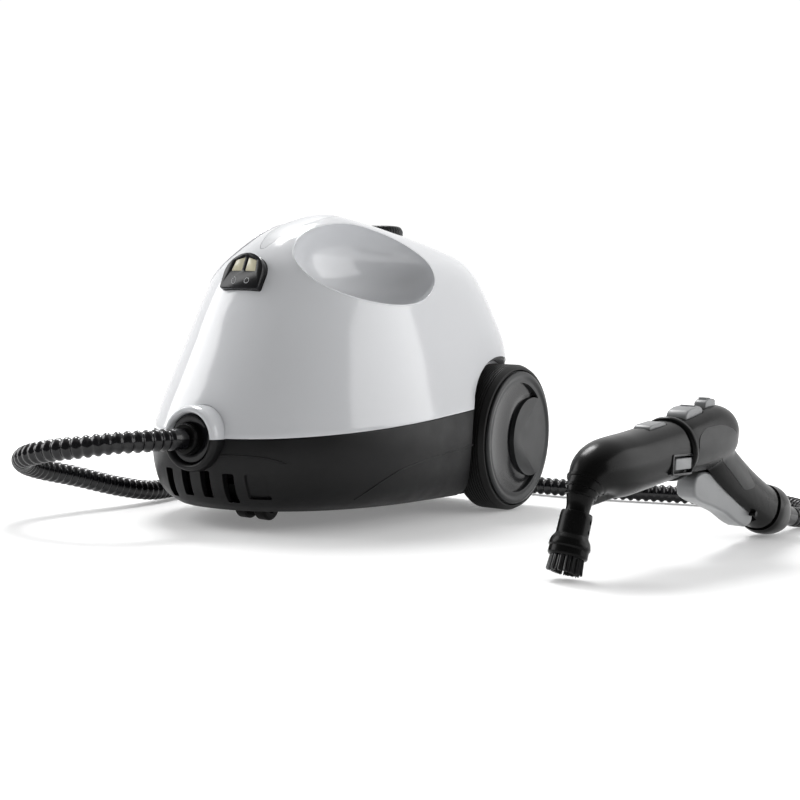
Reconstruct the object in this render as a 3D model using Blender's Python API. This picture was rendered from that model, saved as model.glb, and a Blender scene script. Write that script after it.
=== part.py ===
"""Canister steam cleaner with a steam gun, hose and round brush.

Sizes in this script are millimetres; to_mesh() turns them into Blender's metres.
The canister is drawn about its own centre (front is -Y, floor is Z = 0) and the gun in a
frame of its own, along +Y from the point where its bristles touch the floor. Two empties
place both in the object's frame, whose origin is the middle of the footprint on the floor.
"""

import math

import bmesh
import bpy
from mathutils import Vector

MM = 0.001
# Where a turned body's first corner lies, in steps, so that no edge meets a plane of symmetry
FIRST_STEP = 0.37

# Place of the two frames in the object's frame
CANISTER_PLACE = (-123.37, 8.48, 0.0)
GUN_PLACE = (202.63, -177.52, 0.0)
GUN_YAW = -5.0

# Canister body: height, front, rear, half width before and behind the middle
BODY_LEVELS = (
    (14, -168, 158, 90, 90),
    (20, -177, 164, 101, 101),
    (30, -184, 167, 109, 109),
    (50, -189, 168, 115, 115),
    (70, -188, 168, 117, 117),
    (92, -181, 168, 115, 118),
    (122, -167, 167, 108, 118),
    (153, -153, 165, 100, 113),
    (181, -142, 160, 91, 99),
    (200, -133, 156, 84, 88),
    (212, -125, 153, 77, 80),
    (222, -115, 149, 69, 71),
    (230, -105, 140, 60, 62),
    (238, -93, 112, 50, 51),
    (246, -77, 76, 39, 39),
    (253, -56, 34, 28, 28),
    (257.5, -40, 0, 17, 17),
    (259.5, -27, -14, 7, 7),
)
FRONT_POWER = 2.25
REAR_POWER = 4.2
SHELL_WALL = 3.2
BASE_WALL = 4.0
SEAM_HEIGHT = 89.3
SEAM_SLOPE = 0.0923
SEAM_GAP = 0.3

# Finger scoops on both sides of the carrying handle
SCOOP_CENTRE = (62.0, -40.0, 220.0)
SCOOP_RADII = (50.0, 79.0, 44.0)
SCOOP_YAW = 11.0

# Wheels and axle
WHEEL_RADIUS = 67.0
WHEEL_Y = 120.0
AXLE_RADIUS = 5.0
ARCH_RADIUS = 73.0
ARCH_IN = 86.0

# Front caster
CASTER_Y = -107.0
ROLLER_RADIUS = 11.0
CASTER_POCKET = 28.0

# Steam outlet, filler and boiler
OUTLET_Z = 71.0
OUTLET_RADIUS = 26.0
HOSE_RADIUS = 8.8
FILLER_Y = 72.0
BOILER_Y = 35.0
BOILER_RADIUS = 55.0

# Places of the screws that hold the shell to the base
CASE_SCREWS = ((-62, -112), (62, -112), (-60, 132), (60, 132))

# Gun: brush axis tilt from upright, barrel tilt from level, trigger pivot
BRUSH_TILT = 20.0
BARREL_TILT = 6.5
PIVOT = (272.0, 24.0)

HOSE_ROUTE = (
    (0, -204.6, 71), (-1.2, -219, 71), (-6.2, -240, 70.5), (-18.5, -260.5, 69), (-39.5, -275.8, 65),
    (-66.5, -281.5, 60.5), (-94.5, -275.5, 54), (-117.5, -256.5, 46.5), (-130, -228, 38.5), (-132, -184, 29),
    (-129.5, -138, 18), (-131, -94, 10.8), (-142, -48, 9.2), (-160, -4, 9.2), (-188, 42, 9.2),
    (-227, 90, 9.2), (-270, 138, 9.2), (-306, 196, 9.2), (-325, 262, 9.2), (-315, 328, 9.2),
    (-274, 380, 9.2), (-213, 404, 9.2), (-149, 396, 9.2), (-94, 362, 9.2), (-50, 316, 9.2),
    (-4, 277, 9.2), (50, 256, 9.2), (103, 256, 9.2), (155, 272, 9.2), (207, 294, 9.2),
    (261, 312, 9.2), (310, 305, 9.2), (344, 276, 9.2), (360, 240, 9.2), (360.7, 208, 9.6),
    (357.2, 170.6, 14.85),
)

for old in list(bpy.data.objects):
    bpy.data.objects.remove(old)

canister = bpy.data.objects.new("canister_frame", None)
gun = bpy.data.objects.new("gun_frame", None)
for frame, place, yaw in ((canister, CANISTER_PLACE, 0.0), (gun, GUN_PLACE, GUN_YAW)):
    bpy.context.scene.collection.objects.link(frame)
    frame.location = Vector(place) * MM
    frame.rotation_euler.z = math.radians(yaw)


# ---------------------------------------------------------------- materials

def material(name, colour, roughness, metallic=0.0):
    made = bpy.data.materials.new(name)
    made.use_nodes = True
    shader = made.node_tree.nodes["Principled BSDF"]
    shader.inputs["Base Color"].default_value = (*colour, 1.0)
    shader.inputs["Roughness"].default_value = roughness
    shader.inputs["Metallic"].default_value = metallic
    made.diffuse_color = (*colour, 1.0)
    return made


WHITE = material("white_gloss_plastic", (0.86, 0.87, 0.88), 0.18)
BLACK = material("black_plastic", (0.018, 0.018, 0.019), 0.45)
GLOSS_BLACK = material("gloss_black_plastic", (0.012, 0.012, 0.013), 0.2)
DARK_GREY = material("dark_grey_plastic", (0.075, 0.077, 0.08), 0.35)
LIGHT_GREY = material("light_grey_plastic", (0.42, 0.43, 0.44), 0.4)
RUBBER = material("rubber", (0.02, 0.02, 0.02), 0.75)
LENS = material("lamp_lens", (0.75, 0.68, 0.42), 0.2)
STEEL = material("steel", (0.55, 0.55, 0.56), 0.3, 1.0)
BRASS = material("brass", (0.6, 0.45, 0.2), 0.35, 1.0)
FOAM = material("insulation", (0.32, 0.31, 0.29), 0.9)
CERAMIC = material("ceramic", (0.7, 0.68, 0.62), 0.6)


# ---------------------------------------------------------------- shape helpers

def to_mesh(name, points, faces, parent, finish, smooth=True):
    """One object from points in millimetres in its parent's frame."""
    mesh = bpy.data.meshes.new(name)
    mesh.from_pydata([Vector(p) * MM for p in points], [], faces)
    work = bmesh.new()
    work.from_mesh(mesh)
    bmesh.ops.remove_doubles(work, verts=work.verts, dist=1e-6)
    bmesh.ops.recalc_face_normals(work, faces=work.faces)
    if work.calc_volume(signed=True) < 0:
        bmesh.ops.reverse_faces(work, faces=work.faces)
    work.to_mesh(mesh)
    work.free()
    if smooth:
        mesh.shade_smooth()
        mesh.set_sharp_from_angle(angle=math.radians(35))
    made = bpy.data.objects.new(name, mesh)
    made.parent = parent
    if finish:
        mesh.materials.append(finish)
    else:
        made.hide_render = True
        made.display_type = "WIRE"
    bpy.context.scene.collection.objects.link(made)
    return made


def loft(name, rings, parent, finish=None):
    """A closed body through rings of equal length, with a flat cap at both ends."""
    count = len(rings[0])
    points = [p for ring in rings for p in ring]
    faces = []
    for row in range(len(rings) - 1):
        for i in range(count):
            j = (i + 1) % count
            low, high = row * count, (row + 1) * count
            faces += [(low + i, low + j, high + j), (low + i, high + j, high + i)]
    faces.append(tuple(reversed(range(count))))
    faces.append(tuple((len(rings) - 1) * count + i for i in range(count)))
    return to_mesh(name, points, faces, parent, finish)


def axes_of(direction):
    """Two unit vectors square to a direction."""
    along = Vector(direction).normalized()
    side = along.cross(Vector((0, 0, 1)))
    if side.length < 0.1:
        side = Vector((1, 0, 0))
    side.normalize()
    return side, side.cross(along).normalized(), along


def turned(name, profile, origin, direction, parent, finish=None, steps=32):
    """A closed profile of (radius, distance) turned about an axis through origin."""
    side, up, along = axes_of(direction)
    points, faces, rows = [], [], []
    for radius, distance in profile:
        centre = Vector(origin) + along * distance
        if radius < 1e-6:
            rows.append([len(points)] * steps)
            points.append(centre)
            continue
        rows.append(list(range(len(points), len(points) + steps)))
        for i in range(steps):
            turn = 2 * math.pi * (i + FIRST_STEP) / steps
            points.append(centre + radius * (math.cos(turn) * side + math.sin(turn) * up))
    closed = list(zip(rows, rows[1:] + rows[:1]))
    for first, second in closed:
        for i in range(steps):
            j = (i + 1) % steps
            corners = []
            for corner in (first[i], first[j], second[j], second[i]):
                if corner not in corners:
                    corners.append(corner)
            if len(corners) > 2:
                faces.append(corners)
    return to_mesh(name, points, faces, parent, finish)


def rod(name, radius, start, end, parent, finish=None, steps=14):
    length = (Vector(end) - Vector(start)).length
    profile = ((0, 0), (radius, 0), (radius, length), (0, length))
    return turned(name, profile, start, Vector(end) - Vector(start), parent, finish, steps)


def tube(name, outer, inner, start, end, parent, finish=None, steps=18):
    length = (Vector(end) - Vector(start)).length
    profile = ((inner, 0), (outer, 0), (outer, length), (inner, length))
    return turned(name, profile, start, Vector(end) - Vector(start), parent, finish, steps)


def block(name, low, high, parent, finish=None, bevel=0.0):
    points = [(x, y, z) for x in (low[0], high[0]) for y in (low[1], high[1]) for z in (low[2], high[2])]
    faces = ((0, 1, 3, 2), (4, 6, 7, 5), (0, 4, 5, 1), (2, 3, 7, 6), (0, 2, 6, 4), (1, 5, 7, 3))
    made = to_mesh(name, points, faces, parent, finish, smooth=False)
    if bevel:
        add_bevel(made, bevel)
    return made


def plate(name, outline, start, end, parent, finish=None, bevel=0.0, axis=0):
    """An outline in the two other axes, extruded along one axis from start to end."""
    def place(point, level):
        coordinates = list(point)
        coordinates.insert(axis, level)
        return tuple(coordinates)
    rings = [[place(p, level) for p in outline] for level in (start, end)]
    made = loft(name, rings, parent, finish)
    if bevel:
        add_bevel(made, bevel)
    return made


def add_bevel(made, width, segments=1):
    modifier = made.modifiers.new("Bevel", "BEVEL")
    modifier.width = width * MM
    modifier.segments = segments
    modifier.limit_method = "ANGLE"
    modifier.angle_limit = math.radians(50)


def boolean(made, operation, others):
    for other in others:
        modifier = made.modifiers.new(other.name, "BOOLEAN")
        modifier.operation = operation
        modifier.object = other


def cut(made, *others):
    boolean(made, "DIFFERENCE", others)


def join(made, *others):
    boolean(made, "UNION", others)


def smooth_curve(points, spacing):
    """Points a given distance apart on a Catmull-Rom curve through the route's points."""
    route = [Vector(p) for p in points]
    route = [2 * route[0] - route[1]] + route + [2 * route[-1] - route[-2]]
    fine = []
    for a, b, c, d in zip(route, route[1:], route[2:], route[3:]):
        for step in range(24):
            t = step / 24
            fine.append(0.5 * (2 * b + (c - a) * t + (2 * a - 5 * b + 4 * c - d) * t**2
                               + (3 * b - 3 * c + d - a) * t**3))
    fine.append(route[-2])
    total = sum((q - p).length for p, q in zip(fine, fine[1:]))
    pieces = max(2, round(total / spacing))
    result, run, target = [fine[0]], 0.0, total / pieces
    for p, q in zip(fine, fine[1:]):
        step = (q - p).length
        while run + step >= target and len(result) < pieces:
            result.append(p + (q - p) * (target - run) / step)
            target += total / pieces
        run += step
    result.append(fine[-1])
    return result


def pipe(name, points, radius, parent, finish, spacing, resolution=2):
    """A round tube along a smooth curve, as a curve object with filled caps."""
    curve = bpy.data.curves.new(name, "CURVE")
    curve.dimensions = "3D"
    curve.bevel_depth = radius * MM
    curve.bevel_resolution = resolution
    curve.use_fill_caps = True
    path = smooth_curve(points, spacing)
    spline = curve.splines.new("POLY")
    spline.points.add(len(path) - 1)
    for target, point in zip(spline.points, path):
        target.co = (*(point * MM), 1.0)
    curve.materials.append(finish)
    made = bpy.data.objects.new(name, curve)
    made.parent = parent
    bpy.context.scene.collection.objects.link(made)
    return made


def coil_spring(name, radius, wire, start, end, turns, parent, steps):
    """A round wire wound about the line from start to end."""
    side, up, along = axes_of(Vector(end) - Vector(start))
    height = (Vector(end) - Vector(start)).length
    count = int(turns * steps)
    points = []
    for i in range(count + 1):
        turn = 2 * math.pi * i / steps
        offset = radius * (math.cos(turn) * side + math.sin(turn) * up)
        points.append(Vector(start) + offset + along * height * i / count)
    curve = bpy.data.curves.new(name, "CURVE")
    curve.dimensions = "3D"
    curve.bevel_depth = wire * MM
    curve.bevel_resolution = 0
    curve.use_fill_caps = True
    spline = curve.splines.new("POLY")
    spline.points.add(count)
    for target, point in zip(spline.points, points):
        target.co = (*(point * MM), 1.0)
    curve.materials.append(STEEL)
    made = bpy.data.objects.new(name, curve)
    made.parent = parent
    bpy.context.scene.collection.objects.link(made)
    return made


# ---------------------------------------------------------------- canister body

def level_at(height):
    """The body's front, rear and half widths at a height, between the listed levels."""
    levels = BODY_LEVELS
    height = min(max(height, levels[0][0]), levels[-1][0])
    for low, high in zip(levels, levels[1:]):
        if height <= high[0]:
            share = (height - low[0]) / (high[0] - low[0])
            return [a + (b - a) * share for a, b in zip(low[1:], high[1:])]
    return list(levels[-1][1:])


def body_ring(height, inset, count):
    """A section of the body: a rounded front and a squarer rear, drawn in by inset."""
    front, rear, half_front, half_rear = level_at(height)
    ring = []
    for i in range(count):
        turn = 2 * math.pi * i / count
        cosine, sine = math.cos(turn), math.sin(turn)
        power = FRONT_POWER if sine < 0 else REAR_POWER
        reach = (-front if sine < 0 else rear) - inset
        blend = max(sine, 0.0)
        blend = blend * blend * (3 - 2 * blend)
        half = half_front + (half_rear - half_front) * blend - inset
        x = half * math.copysign(abs(cosine) ** (2 / power), cosine)
        y = reach * math.copysign(abs(sine) ** (2 / power), sine)
        ring.append((x, y, height))
    return ring


def top_ring(height, count):
    """A section near the crest, whose middle lies ahead of the body's middle."""
    front, rear, half, _ = level_at(height)
    middle = (front + rear) / 2
    return [(half * math.cos(2 * math.pi * i / count),
             middle + (rear - middle) * math.sin(2 * math.pi * i / count), height)
            for i in range(count)]


def body_solid(name, heights, inset, count, finish=None, lift=0.0):
    rings = []
    for height in heights:
        ring = top_ring(height, count) if height > 255 else body_ring(height, inset, count)
        rings.append([(x, y, z + lift) for x, y, z in ring])
    return loft(name, rings, canister, finish)


def below_seam(name, gap):
    """A slab that fills everything below the sloping seam, moved up by gap."""
    def seam(y):
        return SEAM_HEIGHT + SEAM_SLOPE * y + gap
    outline = ((-260, -60), (260, -60), (260, seam(260)), (-260, seam(-260)))
    return plate(name, outline, -200, 200, canister)


def above_seam(name, gap):
    outline = ((-260, SEAM_HEIGHT - SEAM_SLOPE * 260 + gap), (260, SEAM_HEIGHT + SEAM_SLOPE * 260 + gap),
               (260, 400), (-260, 400))
    return plate(name, outline, -200, 200, canister)


def scoop(name, side, grow):
    """One finger scoop as an egg shape, turned so that its front end is nearer the middle."""
    points, faces = [], []
    rows, columns = 8, 18
    turn = math.radians(-SCOOP_YAW * side)
    for row in range(rows + 1):
        polar = math.pi * row / rows
        for column in range(columns):
            around = 2 * math.pi * column / columns
            x = (SCOOP_RADII[0] + grow) * math.sin(polar) * math.cos(around)
            y = (SCOOP_RADII[1] + grow) * math.sin(polar) * math.sin(around)
            z = (SCOOP_RADII[2] + grow) * math.cos(polar)
            points.append((SCOOP_CENTRE[0] * side + x * math.cos(turn) - y * math.sin(turn),
                           SCOOP_CENTRE[1] + x * math.sin(turn) + y * math.cos(turn),
                           SCOOP_CENTRE[2] + z))
    for row in range(rows):
        for column in range(columns):
            following = (column + 1) % columns
            faces.append((row * columns + column, row * columns + following,
                          (row + 1) * columns + following, (row + 1) * columns + column))
    return to_mesh(name, points, faces, canister, None)


def arch(name, side, radius, inner):
    """The round space that a wheel turns in."""
    return rod(name, radius, (side * inner, WHEEL_Y, WHEEL_RADIUS), (side * 150, WHEEL_Y, WHEEL_RADIUS),
               canister, steps=26)


def arch_liner(name, side):
    """The black lip that lines a wheel arch, above and below the seam."""
    arcs = []
    for radius in (ARCH_RADIUS + 0.2, ARCH_RADIUS - 2.0):
        arcs.append([(WHEEL_Y + radius * math.cos(math.radians(a)), WHEEL_RADIUS + radius * math.sin(math.radians(a)))
                     for a in range(10, 203, 12)])
    start, end = sorted((side * (ARCH_IN + 0.3), side * 101.0))
    liner = plate(name, arcs[0] + arcs[1][::-1], start, end, canister)
    boolean(liner, "INTERSECT", [body_solid(f"{name}_room", (20, 50, 70, 92, 122, 153, 181), 0.6, 32)])
    return liner


def make_body():
    shell_cavity = body_solid("shell_cavity", (50, 92, 122, 153, 181, 206, 222, 233), SHELL_WALL, 22)
    base_cavity = body_solid("base_cavity", (18.3, 26.4, 54.3, 96, 125), BASE_WALL, 22)
    for side, label in ((1, "left"), (-1, "right")):
        grown_scoop = scoop(f"{label}_scoop_wall", side, SHELL_WALL)
        grown_arch = arch(f"{label}_arch_wall", side, ARCH_RADIUS + 3.5, ARCH_IN - 3.5)
        cut(shell_cavity, grown_scoop, grown_arch)
        cut(base_cavity, grown_arch)
    for number, (x, y) in enumerate(CASE_SCREWS, 1):
        post = rod(f"post_{number}", 5.2, (x, y, 0), (x, y, 260), canister, steps=10)
        cut(shell_cavity, post)
        cut(base_cavity, post)
    cut(base_cavity, rod("caster_dome", CASTER_POCKET + 3.5, (0, CASTER_Y, 0), (0, CASTER_Y, 31), canister, steps=20))

    upper = body_solid("upper_shell", (66, 92, 122, 153, 181, 200, 212, 222, 230, 238, 246, 253, 257.5, 259.5),
                       0, 32, WHITE)
    lower = body_solid("lower_base", (14, 20, 30, 50, 70, 92, 122), 0, 32, BLACK)
    cut(upper, below_seam("seam_under", SEAM_GAP / 2), shell_cavity)
    cut(lower, above_seam("seam_over", -SEAM_GAP / 2), base_cavity)

    outlet_hole = rod("outlet_hole", OUTLET_RADIUS + 0.4, (0, -230, OUTLET_Z), (0, -150, OUTLET_Z), canister,
                      steps=24)
    for side, label in ((1, "left"), (-1, "right")):
        cut(upper, scoop(f"{label}_scoop", side, 0.0))
        cut(upper, arch(f"{label}_shell_arch", side, ARCH_RADIUS + 1.0, ARCH_IN))
        cut(lower, arch(f"{label}_base_arch", side, ARCH_RADIUS, ARCH_IN))
        join(lower, arch_liner(f"{label}_arch_liner", side))
    cut(upper, outlet_hole, rod("filler_hole", 19.4, (0, FILLER_Y, 225), (0, FILLER_Y, 280), canister, steps=24))
    cut(lower, outlet_hole)

    for number, (x, y) in enumerate(CASE_SCREWS, 1):
        seam = SEAM_HEIGHT + SEAM_SLOPE * y
        head_room = rod(f"head_room_{number}", 4.0, (x, y, 0), (x, y, seam - 24), canister, steps=10)
        shank_room = rod(f"shank_room_{number}", 2.1, (x, y, 5), (x, y, seam + 13), canister, steps=8)
        cut(lower, head_room, shank_room)
        cut(upper, shank_room)
        profile = ((0, 0), (3.6, 0), (3.6, 2.6), (1.8, 2.6), (1.8, 34), (0, 34))
        turned(f"case_screw_{number}", profile, (x, y, seam - 26.9), (0, 0, 1), canister, STEEL, 8)

    cut(lower,
        rod("caster_pocket", CASTER_POCKET, (0, CASTER_Y, 0), (0, CASTER_Y, 27.5), canister, steps=20),
        rod("caster_hole", 4.4, (0, CASTER_Y, 20), (0, CASTER_Y, 40), canister, steps=10),
        rod("axle_hole", AXLE_RADIUS + 0.35, (-140, WHEEL_Y, WHEEL_RADIUS), (140, WHEEL_Y, WHEEL_RADIUS), canister))
    for number, (low, high) in enumerate((((-34.4, 21.6), (-25.3, 45.2)), ((5.2, 24.6), (14.3, 46.2))), 1):
        for side in (1, -1):
            x = sorted((low[0] * side, high[0] * side))
            cut(lower, block(f"front_slot_{number}_{'ab'[side < 0]}", (x[0], -200, low[1]), (x[1], -150, high[1]),
                             canister))
    return upper, lower


def make_handle_inlay(upper):
    """The soft inlay let into the top of the handle's spine."""
    half = 13.5
    front, rear = -112.0, 44.0
    middle, reach = (front + rear) / 2, (rear - front) / 2
    outline = [(half * math.cos(2 * math.pi * i / 22), middle + reach * math.sin(2 * math.pi * i / 22))
               for i in range(22)]
    wider = [(x * 1.025, middle + (y - middle) * 1.004) for x, y in outline]
    skin = body_solid("inlay_under", (181, 212, 230, 238, 246, 253, 257.5, 259.5), 0, 30, lift=-1.6)
    recess = plate("inlay_recess", wider, 205, 290, canister, axis=2)
    cut(recess, skin)
    cut(upper, recess)
    inlay = body_solid("handle_inlay", (181, 200, 212, 222, 230, 238, 246, 253, 257.5, 259.5), 0, 30,
                       LIGHT_GREY)
    boolean(inlay, "INTERSECT", [plate("inlay_column", outline, 205, 290, canister, axis=2)])
    cut(inlay, body_solid("inlay_floor", (181, 212, 230, 238, 246, 253, 257.5, 259.5), 0, 30, lift=-1.3))
    return inlay


def make_panel(upper):
    """The indicator panel on the front slope, with two lamp windows."""
    low, high = Vector((0, -139.5, 190.0)), Vector((0, -127.5, 219.5))
    up = (high - low).normalized()
    out = Vector((0, -up.z, up.y))
    across = Vector((1, 0, 0))
    height = (high - low).length

    def dome(grow):
        """Flat bottom, round top."""
        half = 19.5 + grow
        points = [(-half, -grow), (half, -grow), (half, height * 0.42)]
        points += [(half * math.cos(math.radians(a)), height * 0.42 + (height * 0.58 + grow) * math.sin(math.radians(a)))
                   for a in range(15, 180, 15)]
        return points + [(-half, height * 0.42)]

    def slab(name, outline, back, face, finish=None):
        rings = [[low + across * x + up * y + out * level for x, y in outline] for level in (back, face)]
        return loft(name, rings, canister, finish)

    cut(upper, slab("panel_hole", dome(0.35), -12, 20))
    panel = slab("indicator_panel", dome(0.0), -6.5, 2.2, GLOSS_BLACK)
    add_bevel(panel, 0.8)
    for label, side in (("left", 1), ("right", -1)):
        window = [(side * 1.6, 15.5), (side * 12.5, 15.5), (side * 10.5, 25.5), (side * 1.6, 28)]
        cut(panel, slab(f"{label}_window_hole", [(x + (0.3 if x > side * 5 else -0.3), y) for x, y in
                                                 [(side * 1.3, 15.2), (side * 12.9, 15.2), (side * 10.9, 25.9),
                                                  (side * 1.3, 28.4)]], -10, 6))
        slab(f"{label}_lamp_window", window, -4.5, 1.7, LENS)
    return panel


def make_rear_panel(upper):
    """The arched black panel that closes the rear, with the mains cable's gland in it."""
    def arched(grow):
        points = [(-60 - grow, 118 - grow), (60 + grow, 118 - grow), (60 + grow, 178)]
        points += [((60 + grow) * math.cos(math.radians(a)), 178 + (36 + grow) * math.sin(math.radians(a)))
                   for a in range(15, 180, 15)]
        return points + [(-60 - grow, 178)]
    rings = [[(x, y, z) for x, z in arched(0.4)] for y in (140, 190)]
    cut(upper, loft("rear_opening", rings, canister))
    rings = [[(x, y, z) for x, z in arched(0.0)] for y in (147.5, 151)]
    panel = loft("rear_panel", rings, canister, BLACK)
    cut(panel, rod("gland_hole", 7.4, (30, 130, 132), (30, 180, 132), canister))
    turned("cable_gland", ((3.6, -4), (9.5, -4), (9.5, -0.3), (7.0, -0.3), (7.0, 3.8), (9.5, 3.8), (9.5, 7),
                           (6.5, 16), (3.6, 16)), (30, 147.5, 132), (0, 1, 0), canister, RUBBER, 14)
    return panel


def make_outlet():
    turned("hose_collar", ((12.8, 178), (25.6, 178), (25.6, 193), (24.5, 196.5), (21.5, 198.6), (16, 198.6),
                           (12.8, 196)), (0, 0, OUTLET_Z), (0, -1, 0), canister, BLACK, 24)
    turned("hose_swivel", ((5.2, 170), (12.4, 170), (12.4, 200), (11.6, 203), (5.2, 203)), (0, 0, OUTLET_Z),
           (0, -1, 0), canister, BLACK, 16)
    pipe("steam_pipe", ((0, -8, 150.6), (0, -9, 157), (0, -22, 163), (0, -50, 160), (0, -80, 140),
                        (0, -108, 108), (0, -128, 83), (0, -146, 73), (0, -160, 71), (0, -169.4, 71)),
         3.6, canister, BRASS, 12, 1)


def make_boiler():
    radius = BOILER_RADIUS
    profile = ((0, 36), (38, 36), (radius - 4, 40), (radius, 50), (radius, 136), (radius - 2, 144),
               (radius - 6, 148), (0, 148))
    boiler = turned("boiler", profile, (0, BOILER_Y, 0), (0, 0, 1), canister, STEEL, 18)
    profile = ((0, 38), (37, 38), (radius - 6, 42), (radius - 2, 51), (radius - 2, 135), (radius - 4, 143),
               (radius - 7, 146), (0, 146))
    cut(boiler, turned("boiler_room", profile, (0, BOILER_Y, 0), (0, 0, 1), canister, None, 18),
        rod("boiler_mouth", 9.3, (0, FILLER_Y, 140), (0, FILLER_Y, 160), canister),
        rod("boiler_steam_port", 2.6, (0, -8, 140), (0, -8, 160), canister, steps=12))
    tube("insulation_jacket", radius + 6.5, radius + 1.2, (0, BOILER_Y, 52), (0, BOILER_Y, 132), canister, FOAM, 18)
    turned("boiler_cradle", ((radius + 1.2, 18.3), (radius + 15, 18.3), (radius + 15, 20.8), (radius + 4, 20.8),
                             (radius + 4, 49), (radius + 1.2, 49)), (0, BOILER_Y, 0), (0, 0, 1), canister, STEEL, 18)
    loop = [(36 * math.cos(math.radians(a)), BOILER_Y + 36 * math.sin(math.radians(a)), 31.4)
            for a in range(-255, 76, 22)]
    pipe("heating_element", loop, 3.6, canister, STEEL, 13, 1)
    for name, x, finish in (("thermostat", -27, CERAMIC), ("thermal_cutout", 27, STEEL)):
        turned(name, ((0, 0), (9, 0), (9, 4.5), (6, 4.5), (6, 9), (0, 9)), (x, 24, 148.3), (0, 0, 1), canister,
               finish, 12)
    block("terminal_block", (34, 98, 120), (58, 110, 134), canister, CERAMIC, 1.0)
    turned("filler_neck", ((9.3, 148.3), (16, 148.3), (16, 151), (12, 151), (12, 236), (9.3, 236)),
           (0, FILLER_Y, 0), (0, 0, 1), canister, BRASS, 18)
    turned("filler_collar", ((12.4, 228), (19, 228), (19, 243.6), (18, 244.6), (12.4, 244.6)), (0, FILLER_Y, 0),
           (0, 0, 1), canister, BLACK, 24)


def make_cap():
    """The safety cap: a plug in the neck, a seal, and a knob that turns on the plug's post."""
    turned("cap_seal", ((9.6, 236.3), (11.9, 236.3), (11.9, 238.2), (9.6, 238.2)), (0, FILLER_Y, 0), (0, 0, 1),
           canister, RUBBER, 18)
    turned("cap_plug", ((0, 223), (8.9, 223), (8.9, 238.5), (12, 238.5), (12, 241.3), (5, 241.3), (5, 250),
                        (0, 250)), (0, FILLER_Y, 0), (0, 0, 1), canister, BRASS, 18)
    coil_spring("cap_spring", 8.2, 0.8, (0, FILLER_Y, 242.6), (0, FILLER_Y, 250.2), 3, canister, 9)
    knob = turned("cap_knob", ((13, 245.2), (17.2, 245.2), (17.2, 253.5), (14.5, 257), (0, 258.2), (0, 251.6),
                               (13, 251.6)), (0, FILLER_Y, 0), (0, 0, 1), canister, DARK_GREY, 24)
    return knob


def make_wheels():
    axle_line = (WHEEL_Y, WHEEL_RADIUS)
    rod("rear_axle", AXLE_RADIUS, (-117.8, *axle_line), (117.8, *axle_line), canister, STEEL, 12)
    for side, label in ((1, "left"), (-1, "right")):
        origin, outward = (0, *axle_line), (side, 0, 0)
        hub = ((AXLE_RADIUS + 0.3, 91.5), (15, 91.5), (15, 98), (48, 98), (48, 93), (61.5, 93), (61.5, 122.5),
               (56, 122.5), (54, 117), (AXLE_RADIUS + 0.3, 117))
        turned(f"{label}_wheel_rim", hub, origin, outward, canister, DARK_GREY, 18)
        tread = ((62.2, 91.2), (64.6, 91.2), (WHEEL_RADIUS, 94.5), (WHEEL_RADIUS, 119), (64.6, 123.5),
                 (62.2, 123.5))
        turned(f"{label}_tyre", tread, origin, outward, canister, RUBBER, 30)
        cap = ((0, 118.6), (52.5, 118.6), (52.5, 122.9), (61, 122.9), (61, 125.2), (58, 126.2), (54, 124.4),
               (30, 124.2), (26, 126.2), (0, 126.2))
        turned(f"{label}_hub_cap", cap, origin, outward, canister, DARK_GREY, 20)


def make_caster():
    """A twin roller caster: the fork's tongue hangs between the rollers, which share an axle."""
    tongue = plate("caster_fork", ((CASTER_Y - 7, 4), (CASTER_Y + 7, 4), (CASTER_Y + 9, 20), (CASTER_Y + 9, 24),
                                   (CASTER_Y - 9, 24), (CASTER_Y - 9, 20)), -3.4, 3.4, canister, BLACK)
    disc = turned("fork_disc", ((0, 23.4), (13, 23.4), (13, 26.6), (4, 26.6), (4, 44), (0, 44)), (0, CASTER_Y, 0),
                  (0, 0, 1), canister, None, 14)
    join(tongue, disc)
    cut(tongue, rod("fork_bore", 2.35, (-20, CASTER_Y, ROLLER_RADIUS), (20, CASTER_Y, ROLLER_RADIUS), canister,
                    steps=10))
    rod("caster_axle", 2.0, (-15.5, CASTER_Y, ROLLER_RADIUS), (15.5, CASTER_Y, ROLLER_RADIUS), canister, STEEL, 10)
    for side, label in ((1, "left"), (-1, "right")):
        turned(f"{label}_caster_roller", ((2.2, 4.0), (9.5, 4.0), (ROLLER_RADIUS, 5.5), (ROLLER_RADIUS, 14.5),
                                          (9.5, 16), (2.2, 16)), (0, CASTER_Y, ROLLER_RADIUS), (side, 0, 0),
               canister, RUBBER, 20)


# ---------------------------------------------------------------- steam gun

def section(centre, lean, tall, wide, count=14, power=2.2):
    """An oval ring square to a direction that leans up from +Y by lean degrees."""
    up = Vector((0, -math.sin(math.radians(lean)), math.cos(math.radians(lean))))
    ring = []
    for i in range(count):
        turn = 2 * math.pi * i / count
        cosine, sine = math.cos(turn), math.sin(turn)
        x = wide * math.copysign(abs(cosine) ** (2 / power), cosine)
        rise = tall * math.copysign(abs(sine) ** (2 / power), sine)
        ring.append(Vector((x, centre[0], centre[1])) + up * rise)
    return ring


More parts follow.
